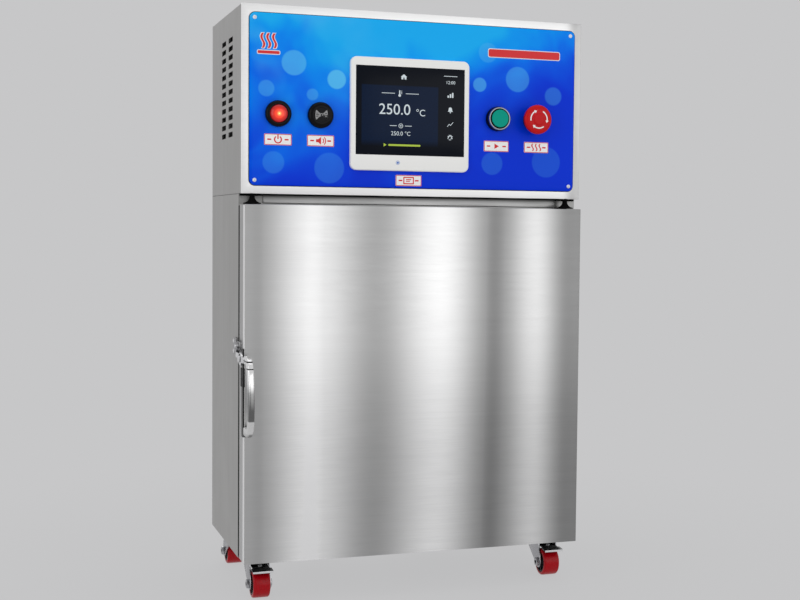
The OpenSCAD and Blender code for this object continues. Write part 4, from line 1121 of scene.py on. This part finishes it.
def lens_glow():
    """The lamp behind a red lens: an orange point that fades to deep red."""
    material, tree, shader, place = new_material("lit_red_lens")
    centre = spot(LAMP[0] - 0.6, 0, LAMP[1] - 0.6)
    flat = new_node(tree, "VectorMath", {0: place, 1: (1, 0, 1)}, operation="MULTIPLY").outputs[0]
    reach = distance_to(tree, flat, (centre.x, 0, centre.z))
    light = colour_ramp(tree, spread(tree, reach, 0, 1, 0, 12.5 * MM), LENS_REDS)
    rough = spread(tree, smudges(tree, place, 20.0), 0.1, 0.2)
    feed(tree, shader, {"Emission Color": light, "Emission Strength": 2.3, "Roughness": rough,
                        "Base Color": (0.25, 0.004, 0.003, 1)})
    return material


lens = round_device("lamp_dome", LAMP, [
    (-6, 11.8), (-10.2, 11.9), (-11.4, 11.6), (-12.4, 10.8), (-13.3, 9.4), (-14.1, 7.4), (-14.6, 5.2),
    (-14.9, 2.8), (-15, 0)])
finish_piece(lens, "cabinet", "red_lens", lens_glow(), "lamp_lens", angle=60)

buzzer = round_device("buzzer_dome", BUZZER, [
    (NECK_BACK, 11), (-2, 11), (-2, 17.6), (-2.6, 18), (-5.6, 18), (-7.2, 17.4), (-8.4, 16.4),
    (-9.3, 14.8), (-9.8, 12.8), (-10, 10.4), (-9.9, 10.0), (-9.6, 9.7), (-9.6, 0)])
wing = [(2.0, -2.2), (4.0, -3.4), (6.0, -5.6), (7.6, -6.6), (8.4, -4.0), (8.7, 0), (8.4, 4.0), (7.6, 6.6),
        (6.0, 5.6), (4.0, 3.4), (2.0, 2.2)]
gaps = [box_loop(3.4, -0.5, 7.6, 0.5), box_loop(4.6, 1.7, 7.6, 2.6), box_loop(4.6, -2.6, 7.6, -1.7)]
grille = [wing] + gaps
grille += [[(-x, z) for x, z in reversed(loop)] for loop in grille]
grille += full_ring(1.7, 1.1)
vent_grey = plain_finish("buzzer_grille_grey", (0.3, 0.3, 0.3), 0.5, texture=600)
bow = flat_sign("buzzer_grille", grille, BUZZER, -9.8, vent_grey, 0.5 * MM)
paint(buzzer, black_gloss)
buzzer = join_pieces("buzzer_dome", [buzzer, bow])
finish_piece(buzzer, "cabinet", "black_plastic", None, "buzzer_body")

# %% Start button
bezel = round_device("start_ring", START, [
    (-10, 14), (-10, 16.1), (-10.4, 16.5), (-12.8, 16.5), (-13.6, 16.1), (-14, 15.3), (-13.9, 14.6),
    (-13.5, 14), (-10, 14)], 64, True)
finish_piece(bezel, "cabinet", "chrome", ring_chrome, "start_button_bezel")
button_body = round_device("start_body", START, [
    (NECK_BACK, 11), (-2, 11), (-2, 17.1), (-2.4, 17.5), (-8.6, 17.5), (-9.6, 17.1), (-10, 16.4),
    (-10, 13.8), (-14.6, 13.8), (-15, 13.5), (-15, 13), (-14.7, 12.8), (-10.2, 12.8), (-10.2, 6.1),
    (14, 6.1)])
finish_piece(button_body, "cabinet", "black_plastic", black_gloss, "start_button_body")
green = round_device("start_cap", START, [
    (1.5, 6), (-13.5, 6), (-13.5, 12.1), (-13.8, 12.5), (-15.4, 12.5), (-15.9, 12.2), (-16.1, 11.6),
    (-16.05, 10.8), (-15.9, 9), (-15.8, 5), (-15.8, 0)])
finish_piece(green, "start_button", "green_cap", green_cap, "start_button_cap")

# %% [markdown]
# ## Emergency stop
# A mushroom head on a stem. Three curved arrows show which way it is turned to
# let it out again. They are thin flat bands laid on the face of the head.

# %% Emergency stop
collar = round_device("stop_collar", STOP, [
    (28, 6.1), (28, 11), (-2, 11), (-2, 14.6), (-2.4, 15), (-7.2, 15), (-8, 14.2), (-8, 6.1), (28, 6.1)],
    64, True)
finish_piece(collar, "cabinet", "dark_plastic", black_matte, "estop_collar")
head = round_device("stop_head", STOP, [
    (-22.1, 6.1), (-14.8, 6.1), (-14.8, 11.5), (-15.3, 12), (-17.6, 12.4), (-18.4, 14.5), (-18.8, 18.4),
    (-19.4, 20.2), (-20.4, 20.9), (-21.8, 21), (-23.2, 20.8), (-24.5, 20.1), (-25.4, 18.9), (-26.1, 17),
    (-26.6, 14.5), (-26.9, 12), (-27.1, 9.2), (-27.6, 8.6), (-28.1, 8), (-28.3, 6.8), (-28.3, 0)], 72)
ARROW_R, ARROW_W = 12.6, 1.7
arrows = []
for start, end in ((190, 122), (62, -6), (306, 238)):
    arrows.append(arc_band(ARROW_R, ARROW_W, end, start))
    foot, tip = math.radians(end), math.radians(end - 17)
    arrows.append([(r * math.cos(t), r * math.sin(t)) for r, t in (
        (ARROW_R - 2.5, foot), (ARROW_R, tip), (ARROW_R + 2.5, foot))])
arrow_mesh = flat_sign("stop_arrows", arrows, STOP, -26.8, sign_white, 0.7 * MM)
paint(head, red_cap)
head = join_pieces("stop_head", [head, arrow_mesh])
finish_piece(head, "stop_head", "red_cap", None, "estop_head")

# %% [markdown]
# ## Labels
# White engraved plates with a red border. A pictogram on each says what the
# device above it is for.

# %% Label plates
def copies(piece, places):
    """A piece is modelled at the first place. This copies it to the others."""
    x0, z0 = places[0]
    return [copy_piece(piece, piece.name, mm(x - x0, 0, z - z0)) for x, z in places[1:]]


LABEL_PLACES = [(-200, 637), (-140.5, 637), (118, 637), (180, 637), (-13.5, 585)]
plate = block("label_plate", spot(-219, -3, 629.25), spot(-181, -2, 644.75))
round_picked(plate, lambda a, b: abs(a.y - b.y) > 0.5 * MM, 1.2 * MM, 4)
round_edges(plate, 0.2 * MM, 2, 60)
plates = join_pieces("label_plates_white", [plate] + copies(plate, LABEL_PLACES))
finish_piece(plates, "cabinet", "label", label_white, "label_plates")

POWER = [arc_band(3.6, 1.3, 125, 415), box_loop(-0.65, 0.6, 0.65, 5)]
SPEAKER = [[(-5, -1.6), (-2.6, -1.6), (0.4, -4.2), (0.4, 4.2), (-2.6, 1.6), (-5, 1.6)],
           arc_band(3.2, 1.0, -45, 45), arc_band(5.4, 1.0, -45, 45)]
WAVES = [wave_band(x, -4, 4, 0.9, 1.4) for x in (-4.4, 0, 4.4)]
SCREEN = [box_loop(-6, -4, 6, 4, 0.8), box_loop(-4.8, -2.8, 4.8, 2.8, 0.4), box_loop(-3, -1.2, 1.4, -0.2),
          box_loop(-3, 0.6, 3, 1.6)]
label_signs = []
for (x, z), sign in zip(LABEL_PLACES, (POWER, SPEAKER, PLAY, WAVES, SCREEN)):
    dashes = [box_loop(side * 12 - 2.8, -1.0, side * 12 + 2.8, 1.0, 0.8) for side in (-1, 1)]
    border = [box_loop(-18.8, -7.55, 18.8, 7.55, 1.1), box_loop(-17.9, -6.65, 17.9, 6.65, 0.7)]
    loops = border + dashes + moved(sign, 0, 0, 1.3)
    label_signs.append(flat_sign("label_sign", loops, (x, z), -3.02, sign_red))
label_signs = join_pieces("label_signs", label_signs)
finish_piece(label_signs, "cabinet", "label", None)

# %% [markdown]
# ## Screws and bolts
# One pan head screw with a cross recess is made and copied to every place. The
# caster bolts have hexagon heads below and nuts above.

# %% Screws
def pan_screw(name, at, face_y, axis, length, back_y):
    """A pan head screw. The axis points from the shank to the head."""
    rise = 1 if axis.y < 0 else -1
    rings = [(0, 1.8), (length, 1.8), (length, 2.7), (length + 0.5, 2.8), (length + 1.4, 2.2),
             (length + 1.9, 1.1), (length + 1.95, 0.1)]
    screw = turned(name, spot(at[0], back_y, at[1]), axis, in_mm(rings), 24)
    for wide, tall in ((1.6, 0.26), (0.26, 1.6)):
        low = spot(at[0] - wide, face_y - rise * 3, at[1] - tall)
        cut_out(screw, [block("cross", low, spot(at[0] + wide, face_y - rise * 0.9, at[1] + tall))])
    return screw


COVER_SCREWS = [(x, z) for z in (75, 548, 578, 804) for x in COVER_SCREWS_X]
screw = pan_screw("panel_screw", PANEL_SCREWS[0], -2, FRONT, 9, 7)
screws = [screw] + copies(screw, PANEL_SCREWS)
cover_screw = pan_screw("cover_screw", COVER_SCREWS[0], COVER_FACE, BACK, 8, 232)
screws += copies(cover_screw, COVER_SCREWS) + [cover_screw]
print(len(screws), "screws")

# %% Caster bolts
def hexagon(name, foot, axis, height, radius):
    """A hexagon head or nut with its corners turned off."""
    rings = [(0, radius * 0.94), (height * 0.12, radius), (height * 0.82, radius),
             (height, radius * 0.86)]
    return turned(name, foot, axis, rings, 6)


PLATE_Z, PAN_Z = 57 * MM, 62 * MM
SWIVEL_X = {"left": -214.1 * MM, "right": 221.9 * MM}
SWIVEL_Y = {"front": -47 * MM, "rear": 120 * MM}
BOLT_OUT = 19 * MM
bolt_x, bolt_y = SWIVEL_X["left"] - BOLT_OUT, SWIVEL_Y["front"] - BOLT_OUT
bolt = join_pieces("caster_bolt", [
    bar("shank", (bolt_x, bolt_y, PLATE_Z - MM), (bolt_x, bolt_y, PAN_Z + 5 * MM), 2.9 * MM, 16),
    hexagon("head", (bolt_x, bolt_y, PLATE_Z), -UP, 2.4 * MM, 4.6 * MM),
    hexagon("nut", (bolt_x, bolt_y, PAN_Z), UP, 3 * MM, 5.2 * MM)])
moves = [(x + side_x - bolt_x, y + side_y - bolt_y, 0)
         for x in SWIVEL_X.values() for y in SWIVEL_Y.values()
         for side_x in (-BOLT_OUT, BOLT_OUT) for side_y in (-BOLT_OUT, BOLT_OUT)]
bolts = [bolt] + [copy_piece(bolt, "caster_bolt", move) for move in moves[1:]]
for piece in screws:
    paint(piece, screw_white)
for piece in bolts:
    paint(piece, zinc)
fixings = join_pieces("screws_and_bolts", screws + bolts)
finish_piece(fixings, "cabinet", "zinc", None, "fasteners")

# %% [markdown]
# ## Latch handle
# The handle is a polished bar, bowed away from the door. A curve runs through
# chosen points, a rounded outline is swept along it, and the result is turned
# into a mesh. The hub, the arm and the tongue are flat plates beside the door.

# %% Swept bars
def swept_bar(name, points, wide, thick, corner):
    """A rounded rectangular bar along a smooth curve through the points."""
    loop = box_loop(-wide / 2, -thick / 2, wide / 2, thick / 2, corner)
    section = flat_curve(name + "_outline", [loop])
    path = bpy.data.curves.new(name, "CURVE")
    path.dimensions = "3D"
    path.bevel_mode = "OBJECT"
    path.bevel_object = section
    path.use_fill_caps = True
    path.resolution_u = 6
    spline = path.splines.new("BEZIER")
    spline.bezier_points.add(len(points) - 1)
    for knot, place in zip(spline.bezier_points, points):
        knot.co = place
        knot.handle_left_type = knot.handle_right_type = "AUTO"
    piece = bpy.data.objects.new(name, path)
    scene.collection.objects.link(piece)
    piece = to_mesh(piece)
    bpy.data.objects.remove(section)
    start_edit(piece)
    close_seams()
    end_edit()
    return piece


def ring_line(tree, height, level, half):
    """A soft line at one height."""
    inputs = {0: math_node(tree, "SUBTRACT", height, level)}
    off = new_node(tree, "Math", inputs, operation="ABSOLUTE").outputs[0]
    return spread(tree, off, 1, 0, half * 0.7, half)


# The handle's tones along its height are a painted reflection: bright ends and a dark middle.
HANDLE_PAINTED_REFLECTION = [(0.0, 0.45), (0.05, 0.8), (0.2, 0.78), (0.215, 0.17), (0.4, 0.16), (0.56, 0.3),
                (0.68, 0.95), (1.0, 1.0)]


def handle_finish():
    """Polished bar: a painted reflection with bright ends and a dark middle, and two joint lines."""
    material, tree, shader, place = new_material("handle_steel_painted_reflection")
    height = new_node(tree, "SeparateXYZ", {0: place}).outputs["Z"]
    tones = [(at, grey(level)) for at, level in HANDLE_PAINTED_REFLECTION]
    tone = colour_ramp(tree, spread(tree, height, 0, 1, 0.24, 0.345), tones)
    lines = math_node(tree, "MAXIMUM", ring_line(tree, height, 0.3395, 0.0011),
                      ring_line(tree, height, 0.3305, 0.0009))
    colour = mix_colours(tree, lines, tone, (0.02, 0.02, 0.02, 1))
    rough = spread(tree, grain_of(tree, place, ALONG_Z, 0.3)[1], 0.14, 0.26)
    feed(tree, shader, {"Base Color": colour, "Roughness": rough, "Metallic": 1.0})
    add_bump(tree, shader, math_node(tree, "SUBTRACT", 1.0, lines), 0.4, 0.0004)
    return material


HANDLE_X, PIVOT = -245.4, (-114, 340)
knots = [(-133.8, 340), (-141, 340.5), (-150, 338.5), (-158, 328), (-163, 310), (-165.6, 290),
         (-165.9, 270), (-163, 254.5), (-155, 246), (-143, 244), (-132.4, 244)]
handle = swept_bar("latch_handle", [mm(HANDLE_X, y, z) for y, z in knots], 8, 12, 2.4)
paint(handle, handle_finish())
hub_parts = [
    block("arm", mm(-251.4, -137, 336), mm(-248.4, -113, 344)),
    block("tongue", mm(-251.4, -116, 340), mm(-248.4, -84, 347)),
    turned("hub", mm(-248.4, *PIVOT), LEFT,
           in_mm([(0, 9), (2.2, 9), (2.8, 8.5), (3, 7.8)]), 48)]
round_picked(hub_parts[1], lambda a, b: abs(a.x - b.x) > MM and a.y > -85 * MM, 2.5 * MM, 5)
for part in hub_parts:
    paint(part, chrome)
    cut_out(part, [bar("bore", mm(-255, *PIVOT), mm(-245, *PIVOT), 3.1 * MM, 32)])
round_edges(hub_parts[0], 0.4 * MM, 2)
handle = join_pieces("latch_handle", [handle] + hub_parts)
finish_piece(handle, "latch", "chrome", None, "latch_lever")

# %% [markdown]
# ## Latch base and keeper
# The base is a dark plate on the side of the door with the lever's pin, a fork
# below it and a rest for the foot of the bar. The keeper stands on the cabinet.

# %% Latch base
plate = block("base_plate", mm(-248.1, -122, 234), mm(-246.1, -109, 354))
round_picked(plate, lambda a, b: abs(a.x - b.x) > MM, 4 * MM, 6)
round_edges(plate, 0.4 * MM, 2, 60)
rest = rounded_block("rest", mm(-248.1, -131.8, 236), mm(-238.1, -123, 248), 1 * MM, 3)
cheek = rounded_block("rest_cheek", mm(-248.1, -131.8, 236), mm(-246.1, -120, 248), 0.4 * MM, 2)
fork_legs = [rounded_block("fork_leg", mm(-249.3, y, 302), mm(-246.1, y + 5.5, 328), 1 * MM, 3)
             for y in (-124, -113.5)]
base = join_pieces("latch_base_plate", [plate, rest, cheek] + fork_legs)
paint(base, black_metal)
pin = turned("lever_pin", mm(-246.1, *PIVOT), LEFT, in_mm([
    (0, 3), (5.6, 3), (5.6, 5), (6.9, 5), (7.5, 4.3),
    (7.8, 2.6), (7.8, 0.1)]), 32)
paint(pin, chrome)
base = join_pieces("latch_base_plate", [base, pin])
finish_piece(base, "door", "black_metal", None, "latch_base")

# %% Keeper
ROLLER_AT = (-86, 355.3)
foot = block("keeper_foot", mm(-249.1, -73, 341.3), mm(-246.1, -51, 365.3))
round_picked(foot, lambda a, b: abs(a.x - b.x) > MM, 5 * MM, 6)
round_edges(foot, 0.6 * MM, 3, 60)
arm = block("keeper_arm", mm(-247.6, ROLLER_AT[0], 349.3), mm(-246.4, -72, 361.3))
eye = turned("keeper_eye", mm(-246.4, *ROLLER_AT), LEFT, in_mm([(0, 6), (1.2, 6)]), 40)
axle = turned("keeper_axle", mm(-246.4, *ROLLER_AT), LEFT, in_mm([
    (0, 2), (6.2, 2), (6.6, 1.8), (7, 1.2), (7, 0.1)]), 24)
knobs = [turned("keeper_screw", mm(-249.1, -61, z), LEFT, in_mm([
    (0, 3), (0.9, 3), (1.6, 2.4), (2, 1.2), (2, 0.1)]), 24)
    for z in (346.3, 360.3)]
for part in (foot, arm):
    paint(part, part_steel)
for part in [eye, axle] + knobs:
    paint(part, chrome)
keeper = join_pieces("keeper_arm_plate", [foot, arm, eye, axle] + knobs)
finish_piece(keeper, "cabinet", "chrome", None, "keeper_bracket")
roller_steel = plain_finish("roller_dark_steel", (0.4, 0.4, 0.41), 0.18, metallic=1.0, texture=200)
roller = turned("keeper_wheel", mm(-247.9, *ROLLER_AT), LEFT, in_mm([
    (0, 2.1), (0, 7.4), (0.5, 8), (4, 8), (4.5, 7.4), (4.5, 5.6),
    (3.9, 5.2), (3.9, 3.6), (4.5, 3.3), (4.5, 2.1), (0, 2.1)]), 48, True)
finish_piece(roller, "roller", "steel_part", roller_steel, "keeper_roller")

# %% [markdown]
# ## Casters
# One caster is modelled with its wheel towards the front and copied to the four
# corners. The fork is bent plate: a top, two cheeks and a round race. The rear
# ones are mirrored, because their wheels point to the back.

# %% Caster fork
def side_plate(name, loops, x0, thickness):
    """Filled loops of (y, z) millimetres, standing across X."""
    piece = to_mesh(flat_curve(name, loops, thickness * MM))
    across = Matrix(((0, 0, 1, 0), (1, 0, 0, 0), (0, 1, 0, 0), (0, 0, 0, 1)))
    piece.matrix_world = Matrix.Translation(mm(x0 + thickness / 2, 0, 0)) @ across
    apply_transform(piece)
    start_edit(piece)
    close_seams()
    end_edit()
    return piece


AXLE = (-20, 20)
outline = [(24, 49.5), (24, 42.5)] + arc_points(8.5, -50, -195, 14, AXLE)
outline += [(-26.6, 30), (-23, 38), (-21.4, 44), (-21, 49.5)]
axle_hole = arc_points(4.05, 0, 345, 23, AXLE)
cheeks = []
for x0 in (-15, 13):
    cheek = side_plate("cheek", [outline, axle_hole], x0, 2)
    round_edges(cheek, 0.35 * MM, 2, 50)
    cheeks.append(cheek)
top = rounded_block("fork_top", mm(-15, -21, 48), mm(15, 24, 50.5), 1 * MM, 3)
race = turned("fork_race", mm(0, 0, 48), UP, in_mm([
    (0, 16), (1.2, 17), (3.4, 17), (3.8, 16.4), (4.2, 17),
    (5.6, 17), (6, 16.5)]), 48)
kingpin = bar("kingpin", mm(0, 0, 48), mm(0, 0, 58.8), 3.95 * MM)
axle_bolt = bar("axle_bolt", mm(-17.5, *AXLE), mm(15.05, *AXLE), 3.95 * MM)
nut = hexagon("axle_nut", mm(-15.05, *AXLE), LEFT, 4 * MM, 6.5 * MM)
stub = turned("axle_stub", mm(-17, *AXLE), LEFT,
              in_mm([(0, 3.4), (1.6, 3.4), (2.05, 2.8)]), 24)
cap = turned("axle_head", mm(15.05, *AXLE), -LEFT,
             in_mm([(0, 7), (0.8, 7), (1.7, 5.4), (2, 3), (2, 0.1)]), 32)
fork = join_pieces("caster_fork", [top, race, kingpin, axle_bolt, nut, stub, cap] + cheeks)
print("fork", len(fork.data.polygons), "faces")

# %% Caster wheel
def wheel_ring(name, rings):
    """A closed ring about the axle, from places along X and radii."""
    start = rings[0][0]
    rings = in_mm([(x - start, radius) for x, radius in rings])
    return turned(name, mm(start, *AXLE), -LEFT, rings, 72, True)


half = 12
tyre_rings = [(-half, 15.7), (-half, 17.6), (-half + 0.4, 18.8), (-half + 1.3, 19.6),
              (-half + 2.8, 19.95), (0, 20), (half - 2.8, 19.95), (half - 1.3, 19.6), (half - 0.4, 18.8),
              (half, 17.6), (half, 15.7), (-half, 15.7)]
tyre = wheel_ring("tyre", tyre_rings)
hub_rings = [(-12.7, 4.1), (-12.7, 7.4), (-12.3, 8), (-9.2, 8.4), (-8, 9.4), (-8, 12.2), (-9, 13),
             (-11.2, 13.3), (-11.7, 13.9), (-11.7, 15), (-11.2, 15.5), (11.2, 15.5), (11.7, 15),
             (11.7, 13.9), (11.2, 13.3), (9, 13), (8, 12.2), (8, 9.4), (9.2, 8.4), (12.3, 8), (12.7, 7.4),
             (12.7, 4.1), (-12.7, 4.1)]
hub = wheel_ring("hub", hub_rings)
ribs = []
for step in range(6):
    rib = block("rib", mm(-10.6, -0.9, 7.6), mm(10.6, 0.9, 13.6))
    turn = Matrix.Rotation(math.radians(60 * step), 4, "X")
    rib.matrix_world = Matrix.Translation(mm(0, *AXLE)) @ turn
    apply_transform(rib)
    ribs.append(rib)
hub = join_pieces("hub", [hub] + ribs)
print("wheel", len(tyre.data.polygons) + len(hub.data.polygons), "faces")

# %% Brake pedal
tread = block("pedal_tread", mm(-11.7, -33, 0.5), mm(11.7, 0, 2.5))
toe = block("pedal_toe", mm(-14.5, -45.5, 0.5), mm(14.5, -31, 2.5))
round_picked(toe, lambda a, b: abs(a.z - b.z) > MM, 1.5 * MM, 3)
ribs = [block("pedal_rib", mm(-11, y, 2.3), mm(11, y + 1.2, 3)) for y in (-41, -38, -35)]
barrel = bar("pedal_barrel", mm(-12.7, 0, 0), mm(12.7, 0, 0), 3 * MM)
pedal = join_pieces("pedal", [tread, toe, barrel] + ribs)
round_edges(pedal, 0.3 * MM, 2)
paint(pedal, black_metal)
edge = rounded_block("pedal_edge", mm(-14.3, -45.8, -0.4), mm(14.3, -45, 2.4), 0.3 * MM, 2)
pins = bar("pedal_pin", mm(-14.7, 0, 0), mm(14.7, 0, 0), 1.5 * MM)
edge = join_pieces("pedal_edge", [edge, pins])
paint(edge, chrome)
screw = turned("pedal_screw", mm(0, -20, 2.2), UP,
               in_mm([(0, 3.4), (1.4, 3.4), (2.4, 2), (2.5, 0.1)]), 24)
paint(screw, chrome)
pedal = join_pieces("pedal", [pedal, edge, screw])
pedal.matrix_world = Matrix.Translation(mm(0, -1, 44)) @ Matrix.Rotation(math.radians(5), 4, "X")
apply_transform(pedal)
print("pedal", len(pedal.data.polygons), "faces")

# %% Copies at the four corners
MIRROR = Matrix.Scale(-1, 4, (0, 1, 0))


def corner_copy(piece, name, corner):
    end, side = corner.split("_")
    twin = copy_piece(piece, name)
    if end == "rear":
        twin.data.transform(MIRROR)
        twin.data.flip_normals()
    twin.data.transform(Matrix.Translation((SWIVEL_X[side], SWIVEL_Y[end], 0)))
    return twin


for corner in CORNERS:
    fork_copy, tyre_copy, hub_copy = [corner_copy(piece, name + corner, corner) for piece, name in (
        (fork, "fork_"), (tyre, "tyre_"), (hub, "hub_"))]
    finish_piece(fork_copy, "caster_" + corner, "zinc", zinc, "caster_fork_" + corner)
    finish_piece(tyre_copy, "wheel_" + corner, "tyre", tyre_red, "caster_tyre_" + corner)
    finish_piece(hub_copy, "wheel_" + corner, "hub", hub_dark, "caster_hub_" + corner)
for side in ("left", "right"):
    pedal_copy = corner_copy(pedal, "pedal_" + side, "front_" + side)
    finish_piece(pedal_copy, "pedal_" + side, "black_metal", None, "brake_pedal_" + side)
for piece in (fork, tyre, hub, pedal):
    bpy.data.objects.remove(piece)

# %% [markdown]
# ## Cable gland
# A nut clamps the gland to the back cover, and a domed cap with grips squeezes
# the seal round the cord. No cord shows in the photograph, so it is left empty.

# %% Cable gland
def gland_ring(name, rings, sides):
    """A closed ring about the gland, from places along Y and radii."""
    start = rings[0][0]
    foot = spot(GLAND_X, start, GLAND_Z)
    rings = in_mm([(y - start, radius) for y, radius in rings])
    return turned(name, foot, BACK, rings, sides, True)


thread = gland_ring("gland_thread", [(228.8, 5.2), (228.8, 10), (242, 10), (242, 5.2), (228.8, 5.2)], 48)
nuts = [gland_ring("gland_nut", [(y, 9.9), (y, 13.2), (y + 0.7, 14), (y + t - 0.7, 14), (y + t, 13.2),
                                 (y + t, 9.9), (y, 9.9)], 6) for y, t in ((233.8, 5), (240, 6))]
cap = gland_ring("gland_cap", [(245, 5.2), (245, 10.6), (246, 11), (256, 10.6), (259.5, 9.4),
                               (261.4, 7.6), (262, 6), (262, 5.2), (245, 5.2)], 48)
grips = []
for step in range(12):
    grip = rounded_block("grip", mm(-0.7, 0, 9.6), mm(0.7, 8.5, 11), 0.25 * MM, 1)
    turn = Matrix.Rotation(math.radians(30 * step), 4, "Y")
    grip.matrix_world = Matrix.Translation(spot(GLAND_X, 247, GLAND_Z)) @ turn
    apply_transform(grip)
    grips.append(grip)
gland = join_pieces("gland", [thread, cap] + nuts + grips)
finish_piece(gland, "cabinet", "dark_plastic", black_matte, "cable_gland")

# %% [markdown]
# ## Floor
# A pale floor holds the oven's soft shadow. Its colour is the room's grey, so
# that floor and room meet without a line.

# %% The studio floor
FLOOR_GREY = (0.57, 0.57, 0.575, 1)
deselect_all()
bpy.ops.mesh.primitive_plane_add(size=60, location=(0, 0, 0))
floor = bpy.context.object
floor.name = "studio_floor"
apply_transform(floor)
floor_material, tree, shader, place = new_material("studio_floor_grey")
tree.nodes.remove(shader)
own_grey = new_node(tree, "BsdfDiffuse", {"Color": FLOOR_GREY}).outputs[0]
room_grey = new_node(tree, "Emission", {"Color": ROOM_GREY}).outputs[0]
distance = new_node(tree, "VectorMath", {0: place}, operation="LENGTH").outputs["Value"]
away = spread(tree, distance, 0.86, 1.0, 0.3, 1.0)
rays = new_node(tree, "LightPath", {}).outputs
mirrored = math_node(tree, "MAXIMUM", rays["Is Glossy Ray"], rays["Is Transmission Ray"])
share = math_node(tree, "MAXIMUM", away, mirrored)
floor_mix = new_node(tree, "MixShader", {"Fac": share, 1: own_grey, 2: room_grey})
feed(tree, tree.nodes["Material Output"], {"Surface": floor_mix.outputs[0]})
paint(floor, floor_material)
